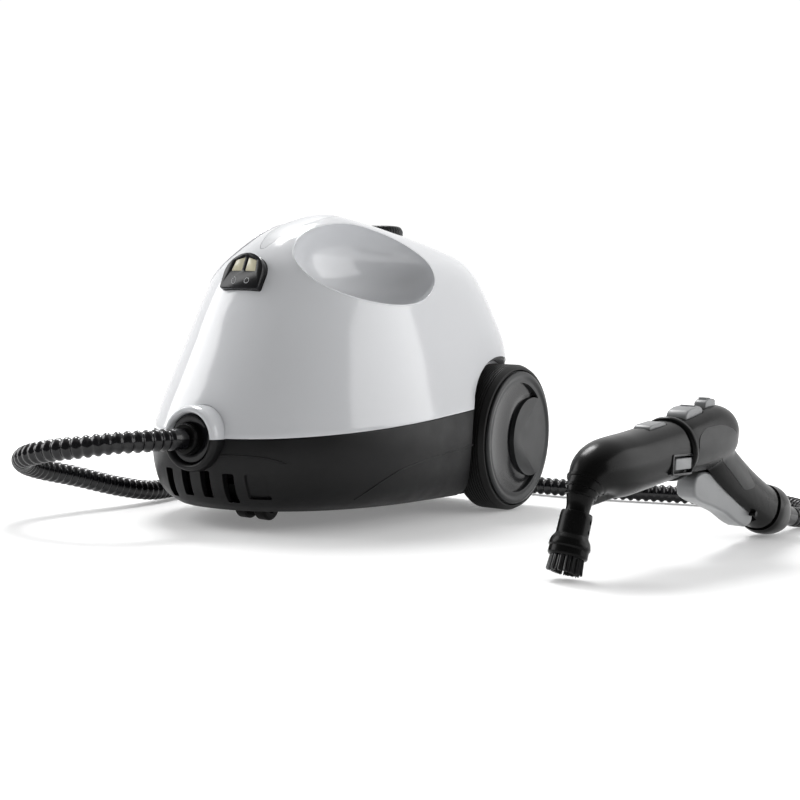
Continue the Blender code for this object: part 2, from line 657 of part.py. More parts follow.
BARREL_RINGS = (
    # distance along the gun, height, lean, half height, half width
    (141, 82.5, 6.5, 21.0, 20.5), (150, 83.5, 6.5, 22.2, 21.2), (168, 85.5, 6.5, 23.4, 21.8),
    (186, 87.5, 6.5, 24.6, 21.8), (204, 89.5, 3, 24.4, 21.2), (217, 90, -4, 21.8, 19.5),
    (226, 89.5, -10, 16.0, 15.5), (231, 89, -14, 8.0, 8.5),
)
HANDLE_RINGS = (
    (186, 84, -35, 17.0, 17.0), (206, 73, -30, 19.2, 17.0), (228, 61.5, -27, 19.4, 16.6),
    (252, 50, -25, 18.8, 16.2), (276, 39, -24, 18.6, 16.4), (298, 29.5, -22, 19.0, 17.0),
    (309, 25.5, -20, 19.4, 17.4),
)
NOZZLE_RINGS = (
    (5.6, 37.6, 70, 7.9, 7.9), (9.4, 48, 70, 8.1, 8.1), (12, 56, 68, 10.5, 9.6), (19, 63, 56, 14.5, 12.5),
    (29, 68.5, 40, 19.0, 16.5), (42, 71.5, 22, 21.5, 19.2), (58, 73, 10, 22.0, 20.6), (78, 75, 6.5, 21.8, 21.2),
    (102, 77.8, 6.5, 21.8, 21.4), (126, 80.5, 6.5, 22.0, 21.5), (133.5, 81.4, 6.5, 22.0, 21.5),
)


def gun_loft(name, rings, shrink, finish=None):
    return loft(name, [section((s, z), lean, tall - shrink, wide - shrink) for s, z, lean, tall, wide in rings],
                gun, finish)


def make_gun_shells():
    head_room = gun_loft("head_room", BARREL_RINGS[1:-1], 2.6)
    handle_room = gun_loft("handle_room", HANDLE_RINGS[:-1], 2.6)
    join(head_room, handle_room)
    spigot_hole = rod("spigot_hole", 15.2, (0, 130, 81.2), (0, 165, 85.2), gun, steps=18)
    end_hole = rod("end_hole", 9.5, (0, 290, 32.6), (0, 320, 20.6), gun, steps=14)
    pin_hole = rod("pin_hole", 2.8, (-30, *PIVOT), (30, *PIVOT), gun, steps=10)
    slot = plate("trigger_slot", ((158, 30), (282, -8), (284, 24), (262, 38), (232, 50), (206, 62), (190, 72),
                                  (158, 72)), -8.8, 8.8, gun)
    button_hole = block("button_hole", (-9.3, 146, 98), (9.3, 176.5, 130), gun)
    switch_hole = block("switch_hole", (-5.5, 180.4, 105), (5.5, 204.5, 130), gun)
    for label, side in (("left", -1), ("right", 1)):
        shell = gun_loft(f"gun_shell_{label}", BARREL_RINGS, 0.0, BLACK)
        handle = gun_loft(f"{label}_handle_solid", HANDLE_RINGS, 0.0)
        across = sorted((0.15 * side, -60 * side))
        other_half = block(f"{label}_other_half", (across[0], 100, -20), (across[1], 400, 150), gun)
        join(shell, handle)
        cut(shell, head_room, spigot_hole, end_hole, pin_hole, slot, button_hole, switch_hole, other_half)


def make_trigger():
    outline = ((171, 59), (168, 52), (170, 44), (182, 39.5), (204, 34), (228, 27), (250, 17.5), (266, 12.5),
               (277, 15.5), (279, 24), (273, 30), (258, 31), (238, 41), (216, 52), (198, 61), (184, 63))
    trigger = plate("trigger", outline, -8.0, 8.0, gun, LIGHT_GREY, 1.2)
    cut(trigger, rod("trigger_bore", 2.35, (-20, *PIVOT), (20, *PIVOT), gun, steps=10))
    rod("trigger_pin", 2.2, (-13.6, *PIVOT), (13.6, *PIVOT), gun, STEEL, 10)
    coil_spring("trigger_spring", 4.0, 0.6, (0, 196, 64.5), (0, 203, 80), 4, gun, 8)
    rise = Vector((0, 0.447, 0.894))
    foot = Vector((0, 236, 43.2))
    rod("valve_stem", 2.6, foot + rise * 1.2, foot + rise * 10.5, gun, BRASS, 10)
    body = turned("steam_valve", ((0, 7.0), (7.2, 7.0), (7.2, 21), (0, 21)), foot, rise, gun, BRASS, 14)
    cut(body, rod("valve_bore", 3.0, foot + rise * 5, foot + rise * 16.5, gun, steps=10))
    return trigger


def make_gun_fittings():
    along = Vector((0, math.cos(math.radians(BARREL_TILT)), math.sin(math.radians(BARREL_TILT))))
    front = Vector((0, 133.9, 81.4))
    turned("lock_collar", ((21.8, 0), (23.6, 0.6), (24.4, 2.5), (24.2, 5.6), (23.2, 6.4), (15.4, 6.4), (15.4, 0)),
           front, along, gun, BLACK, 20)
    tube("gun_spigot", 14.8, 4.0, front - along * 32, front + along * 24, gun, BLACK, 18)
    pipe("valve_to_spigot_tube", ((0, 238, 69.6), (0, 231, 74.5), (0, 220, 78), (0, 205, 84), (0, 185, 86.5),
                                  (0, 172, 86), (0, 159.5, 84.6)), 2.6, gun, RUBBER, 10, 1)


def make_gun_top():
    """The release button and the child lock."""
    outline = ((147.5, 101.8), (175, 103.5), (175, 111.5), (170, 113.5), (158, 112.3), (150.5, 110), (147.5, 107))
    plate("release_button", outline, -8.4, 8.4, gun, LIGHT_GREY, 1.4)
    outline = ((186.5, 106.5), (203.9, 107.5), (203.9, 117.8), (199.5, 118.6), (190, 117.6), (186.5, 115.6))
    plate("child_lock", outline, -4.9, 4.9, gun, LIGHT_GREY, 1.2)


def make_nozzle():
    nozzle = gun_loft("point_nozzle", NOZZLE_RINGS, 0.0, BLACK)
    along = Vector((0, math.cos(math.radians(BARREL_TILT)), math.sin(math.radians(BARREL_TILT))))
    mouth = Vector((0, 133.9, 81.4))
    bend = Vector((0, 48, 71))
    tip = brush_point(34)
    socket = rod("nozzle_socket", 15.1, mouth + along * 6, mouth - along * 34, gun, steps=18)
    cut(nozzle, socket, rod("nozzle_bore_back", 3.4, mouth, bend - along * 2, gun, steps=12),
        rod("nozzle_bore_front", 2.6, bend + (bend - tip).normalized() * 1.1, tip, gun, steps=10))
    for label, side in (("left", -1), ("right", 1)):
        x = sorted((side * 17.2, side * 24))
        cut(nozzle, block(f"{label}_slider_slot", (x[0], 104, 66.6), (x[1], 140, 79.4), gun))
        x = sorted((side * 17.6, side * 21.6))
        block(f"{label}_lock_slider", (x[0], 108, 69.2), (x[1], 133.2, 77.6), gun, LIGHT_GREY, 0.8)
    tab_hole = block("tab_hole", (-7.2, 93, 94), (7.2, 120.5, 110), gun)
    cut(nozzle, tab_hole)
    outline = ((94, 95.8), (119.4, 97.8), (119.4, 102.2), (115, 103.0), (97, 101.0), (94, 99.4))
    plate("latch_tab", outline, -6.6, 6.6, gun, LIGHT_GREY, 0.9)


def brush_point(distance):
    """A point on the brush's axis, a distance up from the floor."""
    tilt = math.radians(BRUSH_TILT)
    return Vector((0, -8.0 + distance * math.sin(tilt), distance * math.cos(tilt)))


def make_brush():
    along = (brush_point(1) - brush_point(0)).normalized()
    origin = brush_point(0)
    holder = turned("brush_holder", ((9.0, 47), (10.6, 47), (11.0, 44), (11.2, 30), (13.6, 27.5), (14.2, 24),
                                     (13.6, 17), (12.6, 15.8), (3.4, 15.8), (3.4, 36), (9.0, 37)), origin, along,
                    gun, BLACK, 16)
    cut(holder, rod("holder_hole_1", 1.6, brush_point(41), brush_point(41) + Vector((20, 4, 0)), gun, steps=6),
        rod("holder_hole_2", 1.6, brush_point(34), brush_point(34) + Vector((20, 4, 0)), gun, steps=6))
    turned("bristle_ring", ((5.0, 4.9), (12.2, 4.9), (11.8, 15.5), (5.4, 15.5)), origin, along, gun, BLACK, 18)


def make_gun_end():
    """The cap at the handle's end, which holds the hose's swivel."""
    rings = [section((s, z), lean, tall, wide) for s, z, lean, tall, wide in (
        (309.4, 25.4, -20, 20.4, 18.4), (316, 23.4, -18, 21.2, 19.2), (326, 21.8, -10, 20.8, 18.6),
        (336, 20.6, 0, 18.8, 17.0), (344, 19.6, 0, 15.0, 14.0), (348.5, 19.2, 0, 10.6, 10.4))]
    end_cap = loft("gun_end_cap", rings, gun, BLACK)
    cut(end_cap, rod("end_cap_bore", 8.6, (0, 304, 27), (0, 324, 20), gun),
        rod("swivel_bore", 8.6, (0, 318, 20.5), (0, 360, 14.6), gun))
    axis = Vector((0, 42, -5.9)).normalized()
    turned("gun_hose_swivel", ((3.0, 0), (7.8, 0), (7.8, 27.5), (9.2, 28), (9.2, 34), (8.6, 36), (3.0, 36)),
           (0, 322, 19.9), axis, gun, BLACK, 16)


def make_hose():
    pipe("steam_hose", HOSE_ROUTE, HOSE_RADIUS, canister, GLOSS_BLACK, 38, 2)


upper_shell, lower_base = make_body()
make_handle_inlay(upper_shell)
make_panel(upper_shell)
make_rear_panel(upper_shell)
make_outlet()
make_boiler()
make_cap()
make_wheels()
make_caster()
make_gun_shells()
make_trigger()
make_gun_fittings()
make_gun_top()
make_nozzle()
make_brush()
make_gun_end()
make_hose()
bpy.context.view_layer.update()
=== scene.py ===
"""Canister steam cleaner: the visible pieces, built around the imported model.

Shapes are written in millimetres in one of two frames, the canister's and the gun's, and
are placed in the object's frame, in metres, as they are made.
"""

import random
from math import copysign, cos, pi, radians, sin

import bmesh
import bpy
from mathutils import Matrix, Vector


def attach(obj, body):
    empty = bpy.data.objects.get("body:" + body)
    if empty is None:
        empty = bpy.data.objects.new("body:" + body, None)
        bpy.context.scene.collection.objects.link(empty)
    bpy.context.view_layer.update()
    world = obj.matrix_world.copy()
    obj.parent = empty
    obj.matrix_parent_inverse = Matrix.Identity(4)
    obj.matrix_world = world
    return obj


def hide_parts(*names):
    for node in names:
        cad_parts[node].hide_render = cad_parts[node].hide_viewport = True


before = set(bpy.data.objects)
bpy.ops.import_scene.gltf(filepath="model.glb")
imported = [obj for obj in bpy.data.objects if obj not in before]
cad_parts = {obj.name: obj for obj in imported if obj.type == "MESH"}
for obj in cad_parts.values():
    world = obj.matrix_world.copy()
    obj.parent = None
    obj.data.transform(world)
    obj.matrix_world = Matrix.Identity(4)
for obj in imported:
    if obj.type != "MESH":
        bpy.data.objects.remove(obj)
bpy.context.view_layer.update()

MM = 0.001
CANISTER = Matrix.Translation((-0.12337, 0.00848, 0.0))
GUN = Matrix.Translation((0.20263, -0.17752, 0.0)) @ Matrix.Rotation(radians(-5.0), 4, "Z")
scene = bpy.context.scene


def placed(name, data):
    made = bpy.data.objects.new(name, data)
    scene.collection.objects.link(made)
    return made


# ---- camera

CAMERA_PLACE = (743.8, -1066.2, 165.0)
CAMERA_YAW, CAMERA_PITCH, CAMERA_ROLL = 32.3, 2.9, 2.2
CAMERA_LENS = 65.4


def make_camera():
    data = bpy.data.cameras.new("camera")
    data.lens = CAMERA_LENS
    data.sensor_width = 36.0
    camera = placed("camera", data)
    turn = (Matrix.Rotation(radians(CAMERA_YAW), 4, "Z")
            @ Matrix.Rotation(radians(90.0 - CAMERA_PITCH), 4, "X")
            @ Matrix.Rotation(radians(CAMERA_ROLL), 4, "Z"))
    camera.matrix_world = CANISTER @ Matrix.Translation(Vector(CAMERA_PLACE) * MM) @ turn
    scene.camera = camera


make_camera()


# ---- materials

def ranged(tree, value, low, high, start=0.3, end=0.7, curve="LINEAR"):
    """A node that spreads a value between start and end over low to high."""
    node = tree.nodes.new("ShaderNodeMapRange")
    node.interpolation_type = curve
    for name, level in (("From Min", start), ("From Max", end), ("To Min", low), ("To Max", high)):
        node.inputs[name].default_value = level
    tree.links.new(value, node.inputs["Value"])
    return node.outputs["Result"]


def material(name, colour, roughness, grain, depth, speckle, uneven=0.06, metallic=0.0, coat=0.0, streak=None,
             specular=0.5):
    """A moulded plastic, rubber or metal: fine grain in the bump, slow changes of colour and gloss."""
    made = bpy.data.materials.new(name)
    made.use_nodes = True
    tree = made.node_tree
    shader = tree.nodes["Principled BSDF"]
    for socket, level in (("Metallic", metallic), ("Specular IOR Level", specular), ("Coat Weight", coat),
                          ("Coat Roughness", 0.08)):
        shader.inputs[socket].default_value = level
    source = tree.nodes.new("ShaderNodeTexCoord").outputs["Object"]
    if streak:
        mapping = tree.nodes.new("ShaderNodeMapping")
        mapping.inputs["Scale"].default_value = streak
        tree.links.new(source, mapping.inputs["Vector"])
        source = mapping.outputs["Vector"]

    def noise_of(scale, detail):
        node = tree.nodes.new("ShaderNodeTexNoise")
        node.inputs["Scale"].default_value = scale
        node.inputs["Detail"].default_value = detail
        tree.links.new(source, node.inputs["Vector"])
        return node.outputs["Fac"]

    mix = tree.nodes.new("ShaderNodeMix")
    mix.data_type = "RGBA"
    for socket, shade in (("A", 1.0 - speckle), ("B", 1.0 + speckle)):
        mix.inputs[socket].default_value = (*[min(1.0, c * shade) for c in colour], 1.0)
    tree.links.new(ranged(tree, noise_of(14.0, 3.0), 0.0, 1.0), mix.inputs["Factor"])
    tree.links.new(mix.outputs["Result"], shader.inputs["Base Color"])
    gloss = ranged(tree, noise_of(60.0, 4.0), roughness * (1 - uneven), roughness * (1 + uneven))
    tree.links.new(gloss, shader.inputs["Roughness"])
    bump = tree.nodes.new("ShaderNodeBump")
    bump.inputs["Strength"].default_value = 0.5
    bump.inputs["Distance"].default_value = depth * MM
    tree.links.new(noise_of(grain, 2.0), bump.inputs["Height"])
    tree.links.new(bump.outputs["Normal"], shader.inputs["Normal"])
    return made


# Name, colour, roughness, fineness and depth of the grain, speckle
WHITE = material("white_gloss_plastic", (0.67, 0.68, 0.70), 0.14, 90, 0.02, 0.008, uneven=0.2, coat=0.35)
TEXTURED = material("textured_black_plastic", (0.006, 0.006, 0.0065), 0.42, 1500, 0.2, 0.25, uneven=0.15,
                    specular=0.24)
SATIN = material("satin_black_plastic", (0.004, 0.004, 0.004), 0.24, 1300, 0.025, 0.15, uneven=0.15,
                 specular=0.1)
CHEEK_GREY = material("satin_graphite_plastic", (0.02, 0.0205, 0.021), 0.32, 1300, 0.05, 0.08, uneven=0.12,
                      specular=0.16)
GLOSSY = material("gloss_black_plastic", (0.004, 0.004, 0.005), 0.16, 120, 0.02, 0.1, uneven=0.25,
                  specular=0.3)
HOSE_LOOK = material("gloss_black_hose", (0.003, 0.003, 0.004), 0.17, 500, 0.04, 0.2, uneven=0.3,
                     specular=0.42)
DARK = material("dark_grey_plastic", (0.018, 0.019, 0.020), 0.34, 1100, 0.05, 0.08, uneven=0.15, specular=0.3)
DEEP = material("recess_black", (0.004, 0.004, 0.005), 0.16, 300, 0.03, 0.15, specular=0.4)
LIGHT = material("light_grey_plastic", (0.22, 0.225, 0.23), 0.38, 1000, 0.05, 0.04, uneven=0.12)
# Painted shade: this grey stands in for the shade on the handle's upturned top, which is the same white
# plastic as the shell
INLAY_SHADE = material("inlay_painted_shade", (0.42, 0.43, 0.445), 0.45, 1400, 0.08, 0.04)
TYRE = material("tyre_rubber", (0.008, 0.008, 0.008), 0.5, 700, 0.12, 0.25, specular=0.2)
RUBBER = material("black_rubber", (0.008, 0.008, 0.008), 0.45, 800, 0.08, 0.2, specular=0.25)
LENS = material("lamp_lens", (0.62, 0.58, 0.42), 0.2, 1600, 0.12, 0.06, coat=0.5)
MARK = material("panel_mark", (0.42, 0.43, 0.44), 0.4, 900, 0.02, 0.05)
STEEL = material("brushed_steel", (0.56, 0.56, 0.57), 0.28, 900, 0.02, 0.05, metallic=1.0,
                 streak=(1.0, 1.0, 14.0))
BRASS = material("brass", (0.62, 0.46, 0.21), 0.3, 700, 0.02, 0.07, metallic=1.0)
FOAM = material("insulation_wool", (0.33, 0.32, 0.29), 0.95, 260, 0.6, 0.2)
CERAMIC = material("ceramic", (0.70, 0.68, 0.62), 0.6, 500, 0.05, 0.05)
BRISTLE = material("nylon_bristle", (0.022, 0.022, 0.023), 0.3, 2500, 0.02, 0.3)
FLOOR = material("floor", (0.84, 0.84, 0.84), 0.7, 30, 0.05, 0.004)


# ---- shape helpers

def joined(rows, count):
    """Faces between closed rows of points; rows holds the number of each row's first point."""
    return [(a + i, a + (i + 1) % count, b + (i + 1) % count, b + i)
            for a, b in zip(rows, rows[1:]) for i in range(count)]


def circle(centre, radius, side, up, count, start=0.0):
    """Points around a circle in the plane of side and up."""
    turns = [2 * pi * (i + start) / count for i in range(count)]
    return [centre + radius * (cos(turn) * side + sin(turn) * up) for turn in turns]


def rectangle(left, low, right, high):
    return ((left, low), (right, low), (right, high), (left, high))


def across(side, near, far):
    """A stretch of x on one side of the middle, lower end first."""
    return sorted((side * near, side * far))


def solid(name, points, faces, where=CANISTER):
    """One object from points in millimetres in the canister's or the gun's frame."""
    mesh = bpy.data.meshes.new(name)
    mesh.from_pydata([where @ (Vector(p) * MM) for p in points], [], faces)
    work = bmesh.new()
    work.from_mesh(mesh)
    bmesh.ops.remove_doubles(work, verts=work.verts, dist=1e-7)
    bmesh.ops.recalc_face_normals(work, faces=work.faces)
    if work.calc_volume(signed=True) < 0:
        bmesh.ops.reverse_faces(work, faces=work.faces)
    work.to_mesh(mesh)
    work.free()
    return placed(name, mesh)


def loft(name, rings, where=CANISTER):
    """A closed body through rings of as many points each."""
    count = len(rings[0])
    points = [p for ring in rings for p in ring]
    order = range(len(points))
    faces = [tuple(order[count - 1::-1]), *joined(order[::count], count), tuple(order[-count:])]
    return solid(name, points, faces, where)


def filleted(corners, radius, closed=False, steps=4):
    """A polyline with each corner rounded off; a corner's third value is its own radius."""
    result = []
    count = len(corners)
    for i, corner in enumerate(corners):
        here = Vector(corner[:2])
        own = corner[2] if len(corner) > 2 else radius
        if (not closed and i in (0, count - 1)) or own <= 0:
            result.append(tuple(here))
            continue
        before, after = Vector(corners[i - 1][:2]), Vector(corners[(i + 1) % count][:2])
        reach = min(own, (before - here).length * 0.45, (after - here).length * 0.45)
        start = here + (before - here).normalized() * reach
        end = here + (after - here).normalized() * reach
        for step in range(steps + 1):
            t = step / steps
            result.append(tuple(start * (1 - t) ** 2 + here * 2 * t * (1 - t) + end * t * t))
    return result


def turned(name, profile, origin, direction, steps=96, fillet=0.8, closed=True, where=CANISTER):
    """A profile of (radius, distance) turned about the line from origin along direction."""
    along = Vector(direction).normalized()
    side = along.cross(Vector((0, 0, 1)))
    if side.length < 0.1:
        side = Vector((1, 0, 0))
    side.normalize()
    up = side.cross(along)
    profile = filleted(profile, fillet, closed)
    points, faces, rows = [], [], []
    for radius, distance in profile:
        centre = Vector(origin) + along * distance
        if radius < 1e-6:
            rows.append([len(points)] * steps)
            points.append(centre)
            continue
        rows.append(list(range(len(points), len(points) + steps)))
        points += circle(centre, radius, side, up, steps, 0.37)
    pairs = list(zip(rows, rows[1:]))
    if closed:
        pairs.append((rows[-1], rows[0]))
    for first, second in pairs:
        for i in range(steps):
            j = (i + 1) % steps
            corners = list(dict.fromkeys((first[i], first[j], second[j], second[i])))
            if len(corners) > 2:
                faces.append(corners)
    return solid(name, points, faces, where)


def rod(name, radius, start, end, steps=48, where=CANISTER):
    length = (Vector(end) - Vector(start)).length
    profile = ((0, 0), (radius, 0), (radius, length), (0, length))
    return turned(name, profile, start, Vector(end) - Vector(start), steps, 0.0, where=where)


def plate(name, outline, start, end, fillet=0.0, axis=0, where=CANISTER):
    """An outline in the two other axes, its corners rounded, extruded along one axis."""
    if fillet:
        outline = filleted(outline, fillet, True)
    return loft(name, [[(*p[:axis], level, *p[axis:]) for p in outline] for level in (start, end)], where)


def block(name, low, high, where=CANISTER):
    return plate(name, rectangle(*low[1:], *high[1:]), low[0], high[0], where=where)


def applied(made):
    """Turns an object's modifiers into its mesh."""
    graph = bpy.context.evaluated_depsgraph_get()
    mesh = bpy.data.meshes.new_from_object(made.evaluated_get(graph))
    made.modifiers.clear()
    made.data = mesh
    return made


def soften(made, width, segments=3, angle=40.0):
    """Rounds the edges that are sharper than the angle."""
    modifier = made.modifiers.new("Bevel", "BEVEL")
    modifier.width = width * MM
    modifier.segments = segments
    modifier.limit_method = "ANGLE"
    modifier.angle_limit = radians(angle)
    return applied(made)


def boolean(made, operation, others, keep=False, solver="EXACT"):
    for other in others:
        modifier = made.modifiers.new(other.name, "BOOLEAN")
        modifier.operation = operation
        modifier.solver = solver
        modifier.object = other
    applied(made)
    if not keep:
        for other in others:
            bpy.data.objects.remove(other)
    return made


def cut(made, *others):
    return boolean(made, "DIFFERENCE", others)


def shown(made, look, body, slot, *nodes, sharp=35.0):
    """Finishes a piece: shading, material, the body it rides on and hiding its CAD nodes; slot is not used.
    """
    mesh = made.data
    mesh.materials.clear()
    mesh.materials.append(look)
    mesh.polygons.foreach_set("material_index", [0] * len(mesh.polygons))
    mesh.shade_smooth()
    mesh.set_sharp_from_angle(angle=radians(sharp))
    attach(made, body)
    if nodes:
        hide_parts(*nodes)


def squarer(value, power):
    """A sine or cosine bent from a circle's, at power 2, towards a square's."""
    return copysign(abs(value) ** (2 / power), value)


def smooth(t):
    t = min(max(t, 0.0), 1.0)
    return t * t * (3 - 2 * t)


def blended(a, b, c, d, t):
    """A Catmull-Rom curve from b to c, for numbers or points."""
    return 0.5 * (2 * b + (c - a) * t + (2 * a - 5 * b + 4 * c - d) * t**2 + (3 * b - 3 * c + d - a) * t**3)


def smooth_curve(points, spacing):
    """Points a given distance apart on a Catmull-Rom curve through the route's points."""
    route = [Vector(p) for p in points]
    route = [2 * route[0] - route[1]] + route + [2 * route[-1] - route[-2]]
    fine = []
    for nearby in zip(route, route[1:], route[2:], route[3:]):
        fine += [blended(*nearby, step / 24) for step in range(24)]
    fine.append(route[-2])
    total = sum((q - p).length for p, q in zip(fine, fine[1:]))
    pieces = max(2, round(total / spacing))
    result, run, target = [fine[0]], 0.0, total / pieces
    for p, q in zip(fine, fine[1:]):
        step = (q - p).length
        while run + step >= target and len(result) < pieces:
            result.append(p + (q - p) * (target - run) / step)
            target += total / pieces
        run += step
    result.append(fine[-1])
    return result, total


def tube_along(name, path, radius_at, around):
    """A round tube whose radius changes along the path, without twist."""
    count = len(path)
    tangent = [(path[min(i + 1, count - 1)] - path[max(i - 1, 0)]).normalized() for i in range(count)]
    side = tangent[0].cross(Vector((0, 0, 1))).normalized()
    rings = []
    for i, point in enumerate(path):
        side = (side - tangent[i] * side.dot(tangent[i])).normalized()
        rings.append(circle(point, radius_at(i), side, tangent[i].cross(side), around))
    return loft(name, rings)


def wire(name, points, radius, closed=False):
    """A thin round bead along a line of points."""
    path, around = [Vector(p) for p in points], 10
    if not closed:
        return tube_along(name, path, lambda i: radius, around)
    beads = []
    for i, point in enumerate(path):
        tangent = (path[(i + 1) % len(path)] - path[i - 1]).normalized()
        side = tangent.cross(Vector((0.3, 0.2, 1))).normalized()
        beads += circle(point, radius, side, tangent.cross(side), around)
    return solid(name, beads, joined([*range(0, len(beads), around), 0], around))


# ---- steam hose

HOSE_ROUTE = (
    (0, -204.6, 71), (-1.2, -219, 71), (-6.2, -240, 70.5), (-18.5, -260.5, 69), (-39.5, -275.8, 65),
    (-66.5, -281.5, 60.5), (-94.5, -275.5, 54), (-117.5, -256.5, 46.5), (-130, -228, 38.5), (-132, -184, 29),
    (-129.5, -138, 18), (-131, -94, 10.8), (-142, -48, 9.2), (-160, -4, 9.2), (-188, 42, 9.2),
    (-227, 90, 9.2), (-270, 138, 9.2), (-306, 196, 9.2), (-325, 262, 9.2), (-315, 328, 9.2),
    (-274, 380, 9.2), (-213, 404, 9.2), (-149, 396, 9.2), (-94, 362, 9.2), (-50, 316, 9.2),
    (-4, 277, 9.2), (50, 256, 9.2), (103, 256, 9.2), (155, 272, 9.2), (207, 294, 9.2),
    (261, 312, 9.2), (310, 305, 9.2), (344, 276, 9.2), (360, 240, 9.2), (360.7, 208, 9.6),
    (357.2, 170.6, 14.85),
)
HOSE_PITCH, HOSE_SIDES, CUFF_LENGTH = 7.6, 20, 14
HOSE_RIDGE, HOSE_GROOVE, HOSE_CUFF = 8.8, 7.0, 8.6
# Share of the ridge's height at each of the steps in one pitch
RIDGE_STEPS = (0.0, 0.1, 0.62, 0.93, 1.0, 0.93, 0.62, 0.1)


def make_hose():
    steps = len(RIDGE_STEPS)
    path, length = smooth_curve(HOSE_ROUTE, HOSE_PITCH / steps)
    cuff = round(CUFF_LENGTH / (HOSE_PITCH / steps))

    def radius_at(i):
        if i < cuff or i >= len(path) - cuff:
            return HOSE_CUFF
        return HOSE_GROOVE + (HOSE_RIDGE - HOSE_GROOVE) * RIDGE_STEPS[i % steps]

    hose = tube_along("corrugated_hose", path, radius_at, HOSE_SIDES)
    shown(hose, HOSE_LOOK, "body", "hose", "steam_hose", sharp=80.0)


make_hose()


# ---- canister body

# Height, front, rear, half width before and behind the middle
BODY_LEVELS = (
    (14, -168, 158, 90, 90), (20, -177, 164, 101, 101), (30, -184, 167, 109, 109),
    (50, -189, 168, 115, 115), (70, -188, 168, 117, 117), (92, -181, 168, 115, 118),
    (122, -167, 167, 108, 118), (153, -153, 165, 100, 113), (181, -142, 160, 91, 99),
    (200, -133, 156, 84, 88), (212, -125, 153, 77, 80), (222, -115, 149, 69, 71),
    (230, -105, 140, 60, 62), (238, -93, 112, 50, 51), (246, -77, 76, 39, 39),
    (253, -56, 34, 28, 28), (257.5, -40, 0, 17, 17), (259.5, -27, -14, 7, 7),
)
FRONT_POWER, REAR_POWER = 2.25, 4.2
CROWN_START, CROWN_END = 236.0, 257.5
SEAM_HEIGHT, SEAM_SLOPE, SEAM_ROUNDS = 89.3, 0.0923, 6
LIP_HEIGHT, LIP_DEPTH = 7.0, 0.7
SHELL_WALL, BASE_WALL, ARCH_WALL = 3.2, 4.0, 3.5
WHEEL_Y, WHEEL_Z = 120.0, 67.0
ARCH_RADIUS, ARCH_IN = 73.0, 86.0
OUTLET_Z, OUTLET_RADIUS = 71.0, 26.4
GLAND_X, GLAND_Z = 30, 132
FILLER_Y = 72.0
CASTER_Y, CASTER_POCKET = -107.0, 28.0
SCOOP_CENTRE = (62.0, -40.0, 220.0)
SCOOP_RADII = (50.0, 79.0, 44.0)
SCOOP_YAW = 11.0
COLUMNS = 176
SIDES = ((1, "left"), (-1, "right"))


def level_at(height):
    """The body's front, rear and half widths at a height, on smooth curves through the levels."""
    levels = BODY_LEVELS
    height = min(max(height, levels[0][0]), levels[-1][0])
    k = 0
    while k < len(levels) - 2 and height > levels[k + 1][0]:
        k += 1
    low, high = levels[k], levels[k + 1]
    before, after = levels[max(k - 1, 0)], levels[min(k + 2, len(levels) - 1)]
    span = high[0] - low[0]
    t = (height - low[0]) / span
    result = []
    for c in range(1, 5):
        start = (high[c] - before[c]) / (high[0] - before[0]) * span
        end = (after[c] - low[c]) / (after[0] - low[0]) * span
        result.append((2 * t**3 - 3 * t**2 + 1) * low[c] + (t**3 - 2 * t**2 + t) * start
                      + (3 * t**2 - 2 * t**3) * high[c] + (t**3 - t**2) * end)
    return result


def body_point(height, turn, outset=0.0):
    """A point on the body: rounded front, squarer rear, both round near the crest."""
    front, rear, half_front, half_rear = level_at(height)
    crown = smooth((height - CROWN_START) / (CROWN_END - CROWN_START))
    middle = (front + rear) / 2 * crown
    cosine, sine = cos(turn), sin(turn)
    power = FRONT_POWER if sine < 0 else REAR_POWER
    power += (2.0 - power) * crown
    reach = (front - middle - outset) if sine < 0 else (rear - middle + outset)
    blend = smooth(max(sine, 0.0))
    half = half_front + (half_rear - half_front) * blend + outset
    return (half * squarer(cosine, power), middle + abs(reach) * squarer(sine, power), height)


def seam_at(y):
    return SEAM_HEIGHT + SEAM_SLOPE * y


def from_seam(turn, rise, outset):
    """The point on the body a given height above the sloping seam."""
    height = SEAM_HEIGHT
    for _ in range(SEAM_ROUNDS):
        height = seam_at(body_point(height, turn, outset)[1]) + rise
    x, y, _ = body_point(height, turn, outset)
    return (x, y, height)


def turns(columns=COLUMNS):
    """Directions around the body."""
    return [2 * pi * (column + 0.5) / columns for column in range(columns)]


def shell_solid(name, columns=COLUMNS, rows=72, lift=0.0):
    """Everything above the seam, with a rounded lower edge and a low lip along it."""
    edge = ((0.15, -2.6), (0.15, LIP_DEPTH - 0.5), (0.35, LIP_DEPTH - 0.15), (0.75, LIP_DEPTH))
    rings = [[from_seam(turn, rise, outset) for turn in turns(columns)] for rise, outset in edge]
    lowest, top = [z for _, _, z in rings[-1]], BODY_LEVELS[-1][0]
    for row in range(rows):
        share = 1 - (1 - (row + 1) / rows) ** 1.7
        ring = []
        for turn, low in zip(turns(columns), lowest):
            height = low + (top - low) * share
            lip = LIP_DEPTH * (1 - smooth((height - low - LIP_HEIGHT) / 1.6))
            ring.append(body_point(height, turn, lip))
        rings.append(ring)
    return loft(name, [[(x, y, z + lift) for x, y, z in ring] for ring in rings])


def base_solid(name):
    """Everything below the seam, with a rounded upper edge and underside."""
    bottom, rows = BODY_LEVELS[0][0], 40
    rings = [[body_point(bottom, turn, -4.0) for turn in turns()]]
    highest = [from_seam(turn, -1.0, 0.0)[2] for turn in turns()]
    for row in range(rows):
        share = (row + 0.4) / rows
        share = smooth(share) * 0.5 + share * 0.5
        rings.append([body_point(bottom + (high - bottom) * share, turn)
                      for turn, high in zip(turns(), highest)])
    edge = ((-1.0, 0.0), (-0.5, -0.15), (-0.2, -0.6), (-0.15, -3.0))
    rings += [[from_seam(turn, rise, outset) for turn in turns()] for rise, outset in edge]
    return loft(name, rings)


